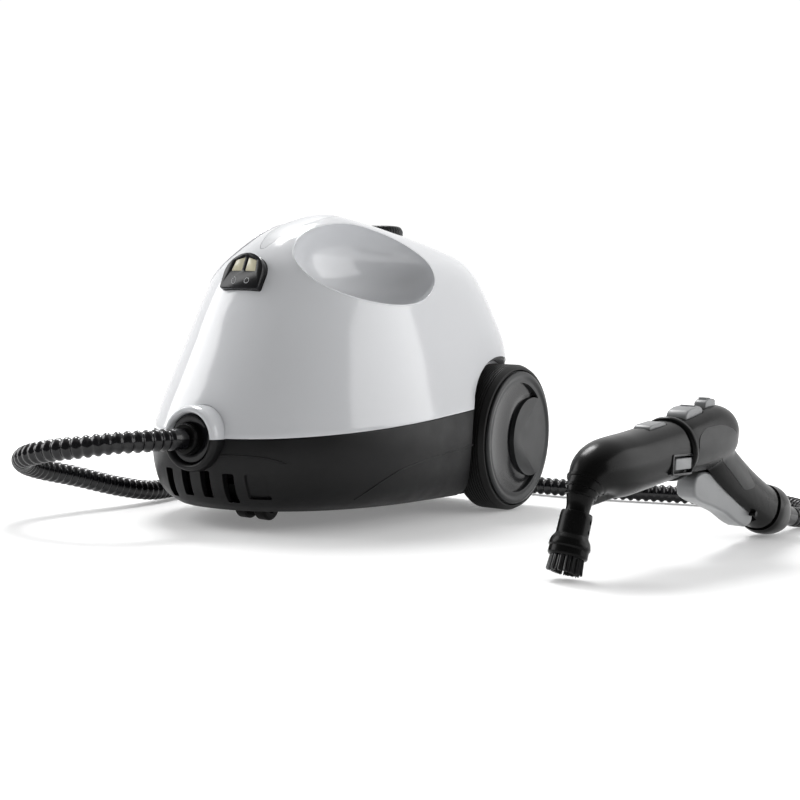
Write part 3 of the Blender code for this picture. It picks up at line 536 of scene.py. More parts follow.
def simple_solid(name, heights, inset, columns=56):
    """A coarse inner body, for hollowing."""
    rings = [[body_point(height, turn, -inset) for turn in turns(columns)] for height in heights]
    return loft(name, rings)


def scoop_turn(side):
    return radians(-SCOOP_YAW * side)


def scoop(name, side, grow, rows=36, columns=84):
    """The egg shape that is cut out of the shell for the fingers."""
    points, turn = [], scoop_turn(side)
    wide, long, deep = [radius + grow for radius in SCOOP_RADII]
    for row in range(rows + 1):
        polar = pi * row / rows
        for column in range(columns):
            around = 2 * pi * column / columns
            x, y, z = wide * sin(polar) * cos(around), long * sin(polar) * sin(around), deep * cos(polar)
            points.append((SCOOP_CENTRE[0] * side + x * cos(turn) - y * sin(turn),
                           SCOOP_CENTRE[1] + x * sin(turn) + y * cos(turn), SCOOP_CENTRE[2] + z))
    return solid(name, points, joined(range(0, len(points), columns), columns))


def arch(name, side, radius, inner, steps=120):
    return rod(name, radius, (side * inner, WHEEL_Y, WHEEL_Z), (side * 150, WHEEL_Y, WHEEL_Z), steps)


def scoop_depth(point, side):
    """Below 1 inside the scoop's egg shape, 1 on it."""
    turn = -scoop_turn(side)
    x, y, z = point[0] - SCOOP_CENTRE[0] * side, point[1] - SCOOP_CENTRE[1], point[2] - SCOOP_CENTRE[2]
    x, y = x * cos(turn) - y * sin(turn), x * sin(turn) + y * cos(turn)
    return (x / SCOOP_RADII[0]) ** 2 + (y / SCOOP_RADII[1]) ** 2 + (z / SCOOP_RADII[2]) ** 2


def last_within(low, high, within):
    """The last value from low on that is still within, by halving."""
    for _ in range(40):
        mid = (low + high) / 2
        if within(mid):
            low = mid
        else:
            high = mid
    return low


def surface_x(y, height):
    """Half width of the body at a place along it and a height, or None outside."""
    low, high = -pi / 2, pi / 2
    top = BODY_LEVELS[-1][0]
    if height >= top or not body_point(height, low)[1] < y < body_point(height, high)[1]:
        return None
    return body_point(height, last_within(low, high, lambda turn: body_point(height, turn)[1] < y))[0]


def scoop_rim(side, count=110):
    """The closed line where a scoop meets the body."""
    def place(angle, reach):
        y, z = SCOOP_CENTRE[1] + reach * cos(angle), SCOOP_CENTRE[2] + reach * sin(angle)
        return surface_x(y, z), y, z

    def within(angle, reach):
        x, y, z = place(angle, reach)
        return x is not None and scoop_depth((x * side, y, z), side) < 1.0

    line = []
    for angle in [2 * pi * i / count for i in range(count)]:
        x, y, z = place(angle, last_within(0.0, 110.0, lambda reach: within(angle, reach)))
        line.append(((x or 0.0) * side, y, z))
    return line


def inlay_column(name, grow):
    half, middle, reach = 13.5 * (1 + grow), -34.0, 78.0 + 13.5 * grow
    outline = [(half * cos(2 * pi * i / 120), middle + reach * sin(2 * pi * i / 120))
               for i in range(120)]
    return plate(name, outline, 200, 290, axis=2)


def dome(half, middle, rise):
    """Points over a half ellipse, from its right end to its left."""
    return [(half * cos(radians(a)), middle + rise * sin(radians(a)), 0) for a in range(6, 180, 6)]


def dome_outline(grow):
    """The indicator panel: flat bottom, round top."""
    half, middle, rise = 19.5 + grow, PANEL_HEIGHT * 0.42, PANEL_HEIGHT * 0.58 + grow
    points = [(-half, -grow, 2.0), (half, -grow, 2.0), (half, middle, 0), *dome(half, middle, rise)]
    return filleted([*points, (-half, middle, 0)], 2.0, True)


PANEL_LOW, PANEL_HIGH = Vector((0, -139.5, 190.0)), Vector((0, -127.5, 219.5))
PANEL_UP = (PANEL_HIGH - PANEL_LOW).normalized()
PANEL_OUT = Vector((0, -PANEL_UP.z, PANEL_UP.y))
PANEL_HEIGHT = (PANEL_HIGH - PANEL_LOW).length


def on_panel(x, y, level):
    return PANEL_LOW + Vector((1, 0, 0)) * x + PANEL_UP * y + PANEL_OUT * level


def panel_slab(name, outline, back, face):
    return loft(name, [[on_panel(x, y, level) for x, y in outline] for level in (back, face)])


def rear_slab(name, grow, start, end):
    """The rear panel's shape, square below and round above, from one depth to another."""
    half = 60 + grow
    points = [(-half, 118 - grow, 6), (half, 118 - grow, 6), (half, 178, 0), *dome(half, 178, 36 + grow)]
    outline = filleted([*points, (-half, 178, 0)], 6, True)
    return plate(name, outline, start, end, 0.0, 1)


def arch_wall(side):
    return arch("arch_wall", side, ARCH_RADIUS + ARCH_WALL, ARCH_IN - ARCH_WALL, 48)


def outlet_hole():
    return rod("outlet_hole", OUTLET_RADIUS, (0, -230, OUTLET_Z), (0, -150, OUTLET_Z), 96)


def make_shell():
    heights = (50, 70, 92, 107, 122, 138, 153, 167, 181, 193, 206, 216, 225, 233)
    cavity = simple_solid("shell_cavity", heights, SHELL_WALL)
    for side in (1, -1):
        cut(cavity, scoop("scoop_wall", side, SHELL_WALL, 18, 40), arch_wall(side))
    shell = shell_solid("white_shell")
    cut(shell, cavity)
    for side in (1, -1):
        cut(shell, scoop("scoop_cut", side, 0.0), arch("arch_cut", side, ARCH_RADIUS + 1.0, ARCH_IN))
    recess = inlay_column("inlay_recess", 0.03)
    cut(recess, shell_solid("recess_floor", 96, 40, -1.6))
    cut(shell, recess, outlet_hole(), rod("filler_cut", 19.4, (0, FILLER_Y, 225), (0, FILLER_Y, 280), 72),
        panel_slab("panel_cut", dome_outline(0.35), -12, 20), rear_slab("rear_cut", 0.4, 140, 190))
    shown(shell, WHITE, "body", "white_shell", "upper_shell", sharp=32.0)

    # The grip on the handle's top is greyed with painted shade; the handle itself is white like the shell
    inlay = shell_solid("handle_grip", 120, 60)
    boolean(inlay, "INTERSECT", [inlay_column("grip_column", 0.0)])
    cut(inlay, shell_solid("grip_floor", 96, 40, -1.3))
    shown(inlay, INLAY_SHADE, "body", "light_grey_plastic", "handle_inlay", sharp=40.0)
    for side, label in SIDES:
        bead = wire(f"{label}_scoop_rim", scoop_rim(side), 0.7, closed=True)
        shown(bead, WHITE, "body", "white_shell", sharp=80.0)


def make_base():
    cavity = simple_solid("base_cavity", (18.3, 26.4, 54.3, 74, 96, 125), BASE_WALL)
    for side in (1, -1):
        cut(cavity, arch_wall(side))
    cut(cavity, rod("caster_dome", CASTER_POCKET + ARCH_WALL, (0, CASTER_Y, 0), (0, CASTER_Y, 31), 48))
    base = base_solid("black_base")
    cut(base, cavity)
    room = simple_solid("liner_room", (20, 50, 70, 92, 122, 153, 181), 0.6, 120)
    for side in (1, -1):
        cut(base, arch("wheel_cut", side, ARCH_RADIUS, ARCH_IN))
        outer, inner = [[(WHEEL_Y + radius * cos(radians(a)), WHEEL_Z + radius * sin(radians(a)))
                         for a in range(10, 203, 3)] for radius in (ARCH_RADIUS + 0.25, ARCH_RADIUS - 2.0)]
        liner = plate("liner", outer + inner[::-1], *across(side, ARCH_IN + 0.3, 101.0))
        boolean(liner, "INTERSECT", [room], keep=True)
        boolean(base, "UNION", [liner])
    bpy.data.objects.remove(room)
    cutters = [outlet_hole(),
               rod("pocket", CASTER_POCKET, (0, CASTER_Y, 0), (0, CASTER_Y, 27.5), 72),
               rod("swivel_hole", 4.4, (0, CASTER_Y, 20), (0, CASTER_Y, 40), 32),
               rod("axle_hole", 5.4, (-140, WHEEL_Y, WHEEL_Z), (140, WHEEL_Y, WHEEL_Z), 32)]
    for near, low, far, high in ((-34.4, 21.6, -25.3, 45.2), (5.2, 24.6, 14.3, 46.2)):
        for side in (1, -1):
            left, right = across(side, near, far)
            cutters.append(plate("slot", rectangle(left, low, right, high), -200, -150, 1.5, 1))
    sunk = plate("sunk_panel", rectangle(42.4, 25.3, 56.7, 45.2), -200, -150, 1.5, 1)
    cutters.append(cut(sunk, simple_solid("sunk_floor", (14, 20, 30, 40, 50, 70), 2.2, 120)))
    cut(base, *cutters)
    shown(base, TEXTURED, "body", "black_plastic", "lower_base", sharp=32.0)


# Height and place around the body, in degrees, of the points of a raised line
FLANK_LINE = ((24, -30.5), (30, -27), (37, -23), (43, -19), (47.5, -15.5), (52, -9.5), (56, -2.5), (60, 1),
              (63, 4.4))
FRONT_LINE = ((58.5, -84), (59.6, -78), (60, -72), (59.3, -65), (57.5, -60), (54.5, -56))


def make_base_lines():
    """Soft raised lines in the moulding of the base, the same on both sides."""
    for name, line in (("flank_line", FLANK_LINE), ("front_line", FRONT_LINE)):
        places = [body_point(height, radians(degrees), -0.25) for height, degrees in line]
        for side, label in SIDES:
            points = smooth_curve([(x * side, y, z) for x, y, z in places], 3.0)[0]
            shown(wire(f"{label}_{name}", points, 0.8), TEXTURED, "body", "black_plastic", sharp=80.0)


def make_panel():
    panel = panel_slab("indicator_plate", dome_outline(0.0), -6.5, 2.2)
    windows = {}
    for side, label in SIDES:
        outline = [(side * 1.5, 15.4), (side * 12.7, 15.4), (side * 10.8, 25.6), (side * 1.5, 28.2)]
        cut(panel, panel_slab("window_cut", filleted(outline, 1.0, True), -10, 6))
        inner = [(side * 1.7, 15.6), (side * 12.4, 15.6), (side * 10.5, 25.3), (side * 1.7, 27.9)]
        windows[label] = panel_slab(f"{label}_lamp", filleted(inner, 1.0, True), -4.5, 1.7)
    shown(soften(panel, 0.8), GLOSSY, "body", "gloss_black_plastic", "indicator_panel", sharp=50.0)
    for label, window in windows.items():
        shown(soften(window, 0.35, 2), LENS, "body", "lamp_lens", f"{label}_lamp_window", sharp=50.0)
    around = [2 * pi * i / 24 for i in range(24)]
    drop = [(-6.5 + 2.1 * sin(a) * (1 - 0.42 * max(0.0, cos(a))), 7.0 + 3.0 * cos(a)) for a in around]
    ring = [(6.5 + 2.3 * sin(a), 7.0 + 2.3 * cos(a)) for a in around]
    for name, outline in (("water_mark", drop), ("ready_mark", ring)):
        line = wire(name, [on_panel(x, y, 2.15) for x, y in outline], 0.28, closed=True)
        shown(line, MARK, "body", "light_grey_plastic", sharp=80.0)


def make_rear():
    panel = rear_slab("rear_cover", 0.0, 147.5, 151)
    cut(panel, rod("gland_cut", 7.4, (GLAND_X, 130, GLAND_Z), (GLAND_X, 180, GLAND_Z), 48))
    lows = [158 + 5.2 * row for row in range(6)]
    cut(panel, *[plate("vent", rectangle(-28, z, 28, z + 2.2), 149.4, 160, 1.0, 1) for z in lows])
    shown(soften(panel, 0.5, 2), TEXTURED, "body", "black_plastic", "rear_panel")
    profile = ((3.6, -4), (9.5, -4), (9.5, -0.3), (7.0, -0.3), (7.0, 3.8), (9.5, 3.8), (9.5, 7), (8.4, 8.2),
               (8.4, 9.4), (7.6, 9.8), (7.6, 11), (6.9, 11.4), (6.9, 12.8), (6.4, 13.2), (6.2, 16), (3.6, 16))
    gland = turned("gland", profile, (GLAND_X, 147.5, GLAND_Z), (0, 1, 0), 48, 0.3)
    shown(gland, RUBBER, "body", "rubber", "cable_gland")


def make_outlet():
    outward = (0, 0, OUTLET_Z), (0, -1, 0)
    profile = ((12.8, 178), (19.8, 178), (19.8, 193.2), (18.6, 194.8), (12.8, 194.8))
    sleeve = turned("outlet_sleeve", profile, *outward, 96, 0.7)
    shown(sleeve, GLOSSY, "body", "black_plastic", "hose_collar")
    profile = ((20.0, 178), (26.2, 178), (26.2, 193.4, 1.4), (24.6, 197.6, 2.2), (21.6, 197.8, 2.0),
               (20.0, 194.4, 1.4))
    seam = seam_at(-190)
    for name, look, slot, low, high in (("outlet_ring_upper", WHITE, "white_shell", seam + 0.2, 140),
                                        ("outlet_ring_lower", TEXTURED, "black_plastic", 0, seam - 0.2)):
        ring = turned(name, profile, *outward, 128, 0.5)
        boolean(ring, "INTERSECT", [block("ring_zone", (-60, -240, low), (60, -140, high))])
        shown(ring, look, "body", slot)
    profile = ((5.2, 170), (12.4, 170), (12.4, 200), (11.6, 203), (5.2, 203))
    swivel = turned("outlet_swivel", profile, *outward, 64, 0.6)
    shown(swivel, SATIN, "hose_swivel_ring", "black_plastic", "hose_swivel")


def make_cap():
    profile = ((12.4, 228), (19, 228), (19, 243.6), (18, 244.8), (12.4, 244.8))
    collar = turned("filler_ring", profile, (0, FILLER_Y, 0), (0, 0, 1), 96, 0.6)
    shown(collar, SATIN, "body", "black_plastic", "filler_collar")
    steps, points = 144, []
    profile = filleted(((13, 245.4), (17.2, 245.4), (17.2, 253.0), (14.8, 257.2, 2.4), (0, 258.2, 0)), 0.6)
    profile += filleted(((0, 251.6, 0), (13, 251.6), (13, 246)), 0.4)
    for radius, height in profile:
        ribbed = radius > 14.0 and height < 255.5
        for i in range(steps):
            angle = 2 * pi * i / steps
            reach = radius - 0.55 * (0.5 + 0.5 * cos(36 * angle)) ** 2 if ribbed else radius
            points.append((reach * cos(angle), FILLER_Y + reach * sin(angle), height))
    knob = solid("safety_cap", points, joined([*range(0, len(points), steps), 0], steps))
    shown(knob, DARK, "cap", "dark_grey_plastic", "cap_knob", sharp=40.0)


HUB_RECESS = 120.2
HUB_FACE = ((0, 118.6, 0), (52.5, 118.6), (52.5, 122.9), (61, 122.9), (61, 125.2, 1.2), (57.8, 126.4, 1.6),
            (54.2, 124.6, 1.4), (0, 124.6, 0))
RIM_PROFILE = ((5.3, 91.5), (15, 91.5), (15, 98), (48, 98), (48, 93), (61.5, 93), (61.5, 122.4), (56, 122.4),
               (54, 117), (5.3, 117))
TYRE_RADIUS, GROOVE_FLOOR = 67, 66.1


def tread_profile():
    tread = [(62.2, 91.2), (64.6, 91.2), (TYRE_RADIUS, 94.5)]
    groove = 96.4
    while groove < 117.5:
        tread += [(TYRE_RADIUS, groove, 0.15), (GROOVE_FLOOR, groove + 0.35, 0.1),
                  (GROOVE_FLOOR, groove + 0.95, 0.1), (TYRE_RADIUS, groove + 1.3, 0.15)]
        groove += 2.6
    return tread + [(TYRE_RADIUS, 119), (64.6, 123.5), (62.2, 123.5)]


def make_wheels():
    for side, label in SIDES:
        origin, outward = Vector((0, WHEEL_Y, WHEEL_Z)), Vector((side, 0, 0))
        tyre = turned(f"{label}_tread", tread_profile(), origin, outward, 128, 0.7)
        shown(tyre, TYRE, f"{label}_wheel", "tyre", f"{label}_tyre", sharp=28.0)
        rim = turned(f"{label}_rim", RIM_PROFILE, origin, outward)
        spokes = []
        for k in range(8):
            angle = 2 * pi * k / 8
            sideways, along = Vector((0, -sin(angle), cos(angle))), Vector((0, cos(angle), sin(angle)))
            rings = [[origin + along * reach + sideways * w + outward * x
                      for w, x in rectangle(-1.2, 94, 1.2, 98.6)] for reach in (14.5, 48.5)]
            spokes.append(loft("spoke", rings))
        boolean(rim, "UNION", spokes)
        shown(rim, DARK, f"{label}_wheel", "dark_grey_plastic", f"{label}_wheel_rim")

        cap = turned(f"{label}_cover", HUB_FACE, origin, outward, 144, 0.5, closed=False)
        recess = rod("recess", 50.5, origin + outward * HUB_RECESS, origin + outward * 140, 128)
        plateau = origin + Vector((0, 27.0, 0))
        cut(recess, rod("plateau_room", 36.5, plateau + outward * 110, plateau + outward * 150, 96))
        cut(cap, recess)
        shown(soften(cap, 0.5, 2), DARK, f"{label}_wheel", "dark_grey_plastic", f"{label}_hub_cap")
        cap.data.materials.append(DEEP)
        sunk = CANISTER.translation.x + side * (HUB_RECESS + 0.1) * MM
        for face in cap.data.polygons:
            if abs(face.center.x - sunk) < 0.2 * MM and abs(face.normal.x) > 0.9:
                face.material_index = 1


def make_caster():
    for side, label in SIDES:
        profile = ((2.2, 4.0), (9.5, 4.0), (11, 5.5), (11, 14.5), (9.5, 16), (4.5, 16), (4.0, 14.8),
                   (2.2, 14.8))
        roller = turned(f"{label}_roller_tread", profile, (0, CASTER_Y, 11), (side, 0, 0), 64, 0.6)
        shown(roller, RUBBER, f"{label}_roller", "rubber", f"{label}_caster_roller")


# ---- steam gun

BARREL_TILT, BRUSH_TILT = 6.5, 20.0
GUN_WALL = 2.6
PIVOT = (272.0, 24.0)
JOINT = Vector((0, 133.9, 81.4))
# Distance along the gun, height, lean, half height, half width
BARREL_RINGS = (
    (141, 82.5, 6.5, 21.0, 20.5), (150, 83.5, 6.5, 22.2, 21.2), (168, 85.5, 6.5, 23.4, 21.8),
    (186, 87.5, 6.5, 24.6, 21.8), (204, 89.5, 3, 24.4, 21.2), (217, 90, -4, 21.8, 19.5),
    (226, 89.5, -10, 16.0, 15.5), (231, 89, -14, 8.0, 8.5),
)
HANDLE_RINGS = (
    (186, 84, -35, 17.0, 17.0), (206, 73, -30, 19.2, 17.0), (228, 61.5, -27, 19.4, 16.6),
    (252, 50, -25, 18.8, 16.2), (276, 39, -24, 18.6, 16.4), (298, 29.5, -22, 19.0, 17.0),
    (309, 25.5, -20, 19.4, 17.4),
)
NOZZLE_RINGS = (
    (5.6, 37.6, 70, 7.9, 7.9), (9.4, 48, 70, 8.1, 8.1), (12, 56, 68, 10.5, 9.6), (19, 63, 56, 14.5, 12.5),
    (29, 68.5, 40, 19.0, 16.5), (42, 71.5, 22, 21.5, 19.2), (58, 73, 10, 22.0, 20.6),
    (78, 75, 6.5, 21.8, 21.2), (102, 77.8, 6.5, 21.8, 21.4), (126, 80.5, 6.5, 22.0, 21.5),
    (133.5, 81.4, 6.5, 22.0, 21.5),
)
END_RINGS = ((309.4, 25.4, -20, 20.4, 18.4), (316, 23.4, -18, 21.2, 19.2), (326, 21.8, -10, 20.8, 18.6),
             (336, 20.6, 0, 18.8, 17.0), (344, 19.6, 0, 15.0, 14.0), (348.5, 19.2, 0, 10.6, 10.4))


def section(ring, grow=0.0, count=72, power=2.2):
    """Points around a rounded section that leans along the gun."""
    s, z, lean, tall, wide = ring
    up = Vector((0, -sin(radians(lean)), cos(radians(lean))))
    points = []
    for i in range(count):
        turn = 2 * pi * (i + 0.5) / count
        x, rise = (wide + grow) * squarer(cos(turn), power), (tall + grow) * squarer(sin(turn), power)
        points.append(Vector((x, s, z)) + up * rise)
    return points


def ring_at(rings, t):
    """A ring between the listed ones; t counts rings."""
    k = min(int(t), len(rings) - 2)
    a, b, c, d = rings[max(k - 1, 0)], rings[k], rings[k + 1], rings[min(k + 2, len(rings) - 1)]
    return tuple(blended(*values, t - k) for values in zip(a, b, c, d))


def fine_rings(rings, steps=5):
    last = len(rings) - 1
    return [ring_at(rings, i / steps) for i in range(last * steps)] + [rings[-1]]


def gun_loft(name, rings, grow=0.0, steps=5, count=72):
    return loft(name, [section(ring, grow, count) for ring in fine_rings(rings, steps)], where=GUN)


def organic(made, voxel, rounds):
    """Blends the joints of a union by remeshing it finely and smoothing."""
    modifier = made.modifiers.new("Remesh", "REMESH")
    modifier.mode = "VOXEL"
    modifier.voxel_size = voxel * MM
    modifier = made.modifiers.new("Smooth", "SMOOTH")
    modifier.iterations = rounds
    return applied(made)


def copied(made, name):
    twin = made.copy()
    twin.data = made.data.copy()
    twin.name = name
    scene.collection.objects.link(twin)
    return twin


CHEEK = ((146, 70), (146, 91), (160, 98), (186, 100), (206, 96), (221, 84), (248, 60), (262, 47), (244, 45),
         (214, 62), (190, 75), (166, 71))


def make_gun_shells():
    whole = gun_loft("gun_whole", BARREL_RINGS)
    rear = ((214, 130), (226.5, 92), (224, 62), (260, 60), (260, 130))
    cut(whole, plate("rear_face", rear, -40, 40, where=GUN))
    boolean(whole, "UNION", [gun_loft("handle_whole", HANDLE_RINGS)])
    organic(whole, 1.5, 8)
    room = gun_loft("head_room", BARREL_RINGS[1:-1], -GUN_WALL, 3, 40)
    boolean(room, "UNION", [gun_loft("handle_room", HANDLE_RINGS[:-1], -GUN_WALL, 3, 40)])
    outline = ((158, 30), (282, -8), (284, 24), (262, 38), (232, 50), (206, 62), (190, 72), (158, 72))
    slot = plate("trigger_slot", outline, -8.8, 8.8, where=GUN)
    button = plate("button_hole", rectangle(-9.3, 146.2, 9.3, 176.4), 98, 130, 2.5, 2, where=GUN)
    switch = plate("switch_hole", rectangle(-5.5, 180.6, 5.5, 204.5), 105, 130, 1.5, 2, where=GUN)
    skin = copied(whole, "cheek_skin")
    swell = skin.modifiers.new("Swell", "DISPLACE")
    swell.strength = 0.35 * MM
    swell.mid_level = 0.0
    applied(skin)
    boolean(skin, "DIFFERENCE", [room, button, switch], True, "MANIFOLD")
    boolean(whole, "DIFFERENCE", [
        room, slot, button, switch, rod("spigot_hole", 15.2, (0, 130, 81.2), (0, 165, 85.2), 64, where=GUN),
        rod("end_hole", 9.5, (0, 290, 32.6), (0, 320, 20.6), 40, where=GUN),
        block("front_face", (-30, 120, 50), (30, 140.9, 120), where=GUN),
        rod("pin_hole", 2.8, (-13.7, *PIVOT), (13.7, *PIVOT), 32, where=GUN)], False, "MANIFOLD")
    for side, label in ((1, "right"), (-1, "left")):
        half = copied(whole, f"gun_{label}_half")
        inner, outer = across(side, 0.12, 60)
        zone = block("half_zone", (inner, 100, -20), (outer, 400, 150), where=GUN)
        boolean(half, "INTERSECT", [zone], False, "MANIFOLD")
        shown(half, SATIN, "body", "black_plastic", f"gun_shell_{label}", sharp=38.0)
        cheek = copied(skin, f"gun_{label}_cheek")
        zone = plate("cheek_zone", CHEEK, *across(side, 9, 40), 6, where=GUN)
        boolean(cheek, "INTERSECT", [zone], False, "MANIFOLD")
        shown(cheek, CHEEK_GREY, "body", "black_plastic", sharp=38.0)
    for spare in (whole, skin):
        bpy.data.objects.remove(spare)


def make_trigger():
    outline = ((171, 59), (168, 52), (170, 44), (182, 39.5), (204, 34), (228, 27), (250, 17.5), (266, 12.5),
               (277, 15.5), (279, 24), (273, 30), (258, 31), (238, 41), (216, 52), (198, 61), (184, 63))
    trigger = plate("trigger_lever_cover", outline, -8.0, 8.0, 6.0, where=GUN)
    shown(soften(trigger, 2.2, 5, 50.0), LIGHT, "trigger_lever", "light_grey_plastic", "trigger", sharp=60.0)


def barrel_along():
    return Vector((0, cos(radians(BARREL_TILT)), sin(radians(BARREL_TILT))))


def make_lock_collar():
    profile = ((21.8, 0), (23.6, 0.6), (24.4, 2.5), (24.2, 5.6), (23.2, 6.4), (15.4, 6.4), (15.4, 0))
    collar = turned("gun_collar", profile, JOINT, barrel_along(), 96, 0.6, where=GUN)
    shown(collar, SATIN, "body", "black_plastic", "lock_collar")


def light_cover(name, outline, width, corner, edge, body, node, ribs=(), segments=3):
    """A light grey push piece, rounded all over, with raised ribs on it."""
    made = soften(plate(name, outline, *width, corner, where=GUN), edge, segments)
    if ribs:
        boolean(made, "UNION", [block("rib", low, high, where=GUN) for low, high in ribs])
    shown(made, LIGHT, body, "light_grey_plastic", node, sharp=50.0)


def make_gun_top():
    outline = ((147.5, 101.8), (175, 103.5), (175, 111.5), (170, 113.5), (158, 112.3), (150.5, 110),
               (147.5, 107))
    ribs = [((-6.0, 166.0 + 2.0 * k, 111.8), (6.0, 167.0 + 2.0 * k, 113.9 - 0.15 * k)) for k in range(3)]
    light_cover("release_cover", outline, (-8.4, 8.4), 1.6, 1.5, "button", "release_button", ribs, 4)
    outline = ((186.5, 106.5), (203.9, 107.5), (203.9, 117.8), (199.5, 118.6), (190, 117.6), (186.5, 115.6))
    ribs = [((-3.4, 191.0 + 2.4 * k, 116.8), (3.4, 192.2 + 2.4 * k, 119.2)) for k in range(3)]
    light_cover("child_lock_cover", outline, (-4.9, 4.9), 1.4, 1.1, "lock_switch", "child_lock", ribs, 4)


def brush_point(distance):
    tilt = radians(BRUSH_TILT)
    return Vector((0, -8.0 + distance * sin(tilt), distance * cos(tilt)))


def make_nozzle():
    nozzle = gun_loft("gun_nozzle", NOZZLE_RINGS, steps=7)
    ribs = []
    for t in (1.9, 2.45, 3.0):
        rings = [section(ring_at(NOZZLE_RINGS, t + offset), grow)
                 for offset, grow in ((-0.12, -0.6), (-0.07, 0.9), (0.07, 0.9), (0.12, -0.6))]
        ribs.append(loft("elbow_rib", rings, where=GUN))
    outline = ((9, 50.5), (19, 48.4), (42, 51.0), (82, 54.2), (84, 66), (24, 68), (9, 60))
    web = plate("neck_web", outline, -6.5, 6.5, 2.0, where=GUN)
    boolean(nozzle, "UNION", [soften(web, 3.0, 5)])
    organic(nozzle, 1.1, 6)
    boolean(nozzle, "UNION", ribs)
    bend, tip, along = Vector((0, 48, 71)), brush_point(34), barrel_along()
    cutters = [rod("socket", 15.1, JOINT + along * 6, JOINT - along * 34, 72, where=GUN),
               rod("bore_back", 3.4, JOINT, bend - along * 2, 24, where=GUN),
               rod("bore_front", 2.6, bend + (bend - tip).normalized() * 1.1, tip, 24, where=GUN),
               plate("tab_hole", rectangle(-7.2, 93, 7.2, 120.5), 94, 110, 1.5, 2, where=GUN)]
    for side in (-1, 1):
        opening = rectangle(104, 66.6, 140, 79.4)
        cutters.append(plate("slider_slot", opening, *across(side, 17.2, 24), 1.5, where=GUN))
    cut(nozzle, *cutters)
    shown(nozzle, SATIN, "nozzle", "black_plastic", "point_nozzle", sharp=38.0)
    for side, label in ((-1, "left"), (1, "right")):
        light_cover(f"{label}_slider_cover", rectangle(108, 69.2, 133.2, 77.6), across(side, 17.6, 21.7),
                    1.6, 0.8, f"{label}_slider", f"{label}_lock_slider")
        outline = rectangle(102.6, 65.2, 133.6, 80.8)
        bezel = plate(f"{label}_slider_frame", outline, *across(side, 18.4, 22.1), 2.4, where=GUN)
        outline = rectangle(104.2, 66.8, 133.4, 79.2)
        cut(bezel, plate("bezel_cut", outline, *across(side, 15, 26), 1.6, where=GUN))
        shown(soften(bezel, 0.35, 2), GLOSSY, "nozzle", "gloss_black_plastic", sharp=50.0)
    outline = ((94, 95.8), (119.4, 97.8), (119.4, 102.2), (115, 103.0), (97, 101.0), (94, 99.4))
    light_cover("latch_cover", outline, (-6.6, 6.6), 1.2, 0.9, "latch", "latch_tab")


TUFTS, STRANDS = 13, 30


def make_brush():
    along = (brush_point(1) - brush_point(0)).normalized()
    side = Vector((1, 0, 0))
    up = along.cross(side)
    origin = brush_point(0)
    profile = ((9.0, 47), (10.6, 47), (11.0, 44), (11.2, 31), (13.4, 27.5), (14.2, 24.4), (14.2, 22.6),
               (13.5, 21.8), (13.7, 17.2), (12.6, 15.8), (3.4, 15.8), (3.4, 36), (9.0, 37))
    holder = turned("brush_head", profile, origin, along, 96, 0.6, where=GUN)
    holes = []
    for middle in (brush_point(41), brush_point(34)):
        for direction in (Vector((20, 4, 0)), Vector((-20, 4, 0))):
            holes.append(rod("hole", 1.6, middle + direction * 0.42, middle + direction, 24, where=GUN))
    cut(holder, *holes)
    shown(holder, SATIN, "brush", "black_plastic", "brush_holder")

    shuffle = random.Random(7)
    points, faces = [], []
    for tuft in range(TUFTS):
        middle = 2 * pi * tuft / TUFTS
        for _ in range(STRANDS):
            angle = middle + shuffle.uniform(-0.17, 0.17)
            root = shuffle.uniform(6.8, 11.4)
            flare = 1.0 + shuffle.uniform(0.02, 0.10)
            foot = shuffle.uniform(1.0, 1.8)
            twist = shuffle.uniform(-0.03, 0.03)
            base = len(points)
            for distance, reach, thick in ((16.6, root, 0.42), (10.5, root * (1 + flare) / 2, 0.38),
                                           (foot + 4.2, root * flare, 0.30)):
                outward = cos(angle + twist) * side + sin(angle + twist) * up
                centre = origin + along * distance + reach * outward
                points += circle(centre, thick, side, up, 5)
            faces += joined((base, base + 5, base + 10), 5)
            faces += [tuple(range(base + 4, base - 1, -1)), tuple(range(base + 10, base + 15))]
    bristles = solid("bristle_tufts", points, faces, where=GUN)
    shown(bristles, BRISTLE, "brush", "bristles", "bristle_ring", sharp=60.0)


def make_gun_end():
    end_cap = gun_loft("handle_end", END_RINGS, steps=6)
    cut(end_cap, rod("bore_a", 8.6, (0, 304, 27), (0, 324, 20), 48, where=GUN),
        rod("bore_b", 8.6, (0, 318, 20.5), (0, 360, 14.6), 48, where=GUN))
    shown(end_cap, SATIN, "body", "black_plastic", "gun_end_cap", sharp=38.0)
    axis = Vector((0, 42, -5.9)).normalized()
    profile = ((3.0, 0), (7.8, 0), (7.8, 27.5), (9.2, 28), (9.2, 30.4), (8.7, 30.9), (9.2, 31.4), (9.2, 34),
               (8.6, 36), (3.0, 36))
    swivel = turned("gun_swivel", profile, (0, 322, 19.9), axis, 64, 0.4, where=GUN)
    shown(swivel, SATIN, "gun_swivel_ring", "black_plastic", "gun_hose_swivel")


# ---- carried-over nodes

CARRIED = {
    SATIN: ("caster_fork", "gun_spigot", "trigger_pin"),
    STEEL: ("boiler", "boiler_cradle", "heating_element", "rear_axle", "caster_axle", "cap_spring",
            "trigger_spring", "thermal_cutout", *(f"case_screw_{number}" for number in range(1, 5))),
    BRASS: ("steam_pipe", "filler_neck", "cap_plug", "valve_stem", "steam_valve"),
    FOAM: ("insulation_jacket",),
    CERAMIC: ("thermostat", "terminal_block"),
    RUBBER: ("cap_seal", "valve_to_spigot_tube"),
}


def dress_carried_nodes():
    for look, names in CARRIED.items():
        for name in names:
            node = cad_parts[name]
            if not node.material_slots:
                node.data.materials.append(look)
            for entry in node.material_slots:
                entry.material = look


# ---- stage

# Strength of the surrounding light from the camera's side and from behind the object, and the directions
# between which it changes
WORLD_LEVELS, WORLD_STRETCH = (0.16, 1.04), (-0.35, 0.75)
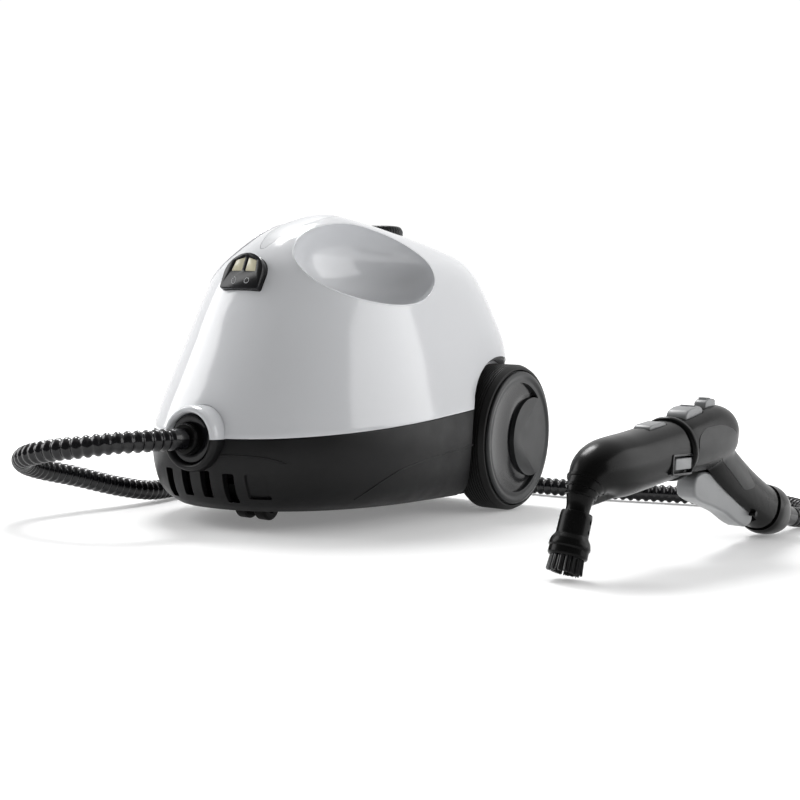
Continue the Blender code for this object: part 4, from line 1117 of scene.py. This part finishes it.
# Glow of the floor beside the object and where it runs out to plain white, and their distances in metres
GLOW_LEVELS, GLOW_STRETCH = (0.2, 0.62), (0.35, 1.3)
FLOOR_HALF, FLOOR_LEVEL = 9000, -0.4


def area_light(name, place, target, size, power):
    data = bpy.data.lights.new(name, "AREA")
    data.shape = "RECTANGLE"
    data.size, data.size_y = size
    data.energy = power
    light = placed(name, data)
    light.location = place
    light.rotation_euler = (Vector(target) - Vector(place)).to_track_quat("-Z", "Y").to_euler()


def graded(tree, place, operation, other, levels, stretch, target):
    """Sets a strength by a measure of the place or direction, running smoothly from one level to another."""
    measure = tree.nodes.new("ShaderNodeVectorMath")
    measure.operation = operation
    measure.inputs[1].default_value = other
    tree.links.new(tree.nodes.new("ShaderNodeTexCoord").outputs[place], measure.inputs[0])
    tree.links.new(ranged(tree, measure.outputs["Value"], *levels, *stretch, "SMOOTHSTEP"), target)


def studio_world():
    """White behind and above the object, dimmer behind the camera, so that the forms shade."""
    world = bpy.data.worlds.new("studio")
    world.use_nodes = True
    shader = world.node_tree.nodes["Background"]
    shader.inputs["Color"].default_value = (1.0, 1.0, 1.0, 1.0)
    yaw = radians(CAMERA_YAW)
    graded(world.node_tree, "Generated", "DOT_PRODUCT", (-sin(yaw), cos(yaw), 0.25), WORLD_LEVELS,
           WORLD_STRETCH, shader.inputs["Strength"])
    scene.world = world


def make_stage():
    mesh = bpy.data.meshes.new("floor")
    corners = rectangle(-FLOOR_HALF, -FLOOR_HALF, FLOOR_HALF, FLOOR_HALF)
    mesh.from_pydata([Vector((x, y, FLOOR_LEVEL)) * MM for x, y in corners], [], [(0, 1, 2, 3)])
    mesh.materials.append(FLOOR)
    shader = FLOOR.node_tree.nodes["Principled BSDF"]
    shader.inputs["Specular IOR Level"].default_value = 0.1
    shader.inputs["Emission Color"].default_value = (1.0, 1.0, 1.0, 1.0)
    graded(FLOOR.node_tree, "Object", "LENGTH", (0, 0, 0), GLOW_LEVELS, GLOW_STRETCH,
           shader.inputs["Emission Strength"])
    placed("floor", mesh)
    studio_world()
    scene.view_settings.view_transform = "Standard"
    area_light("left_softbox", (-2.4, -0.7, 1.3), (-0.1, 0, 0.1), (1.6, 1.8), 34)
    area_light("right_softbox", (2.3, 1.5, 0.9), (0, 0, 0.1), (2.4, 2.0), 34)
    area_light("key", (-1.0, 0.8, 1.9), (0, 0, 0), (0.8, 0.6), 32)


for make in (make_stage, make_shell, make_base, make_base_lines, make_panel, make_rear, make_outlet, make_cap,
             make_wheels, make_caster, make_gun_shells, make_trigger, make_lock_collar, make_gun_top,
             make_nozzle, make_brush, make_gun_end, dress_carried_nodes):
    make()
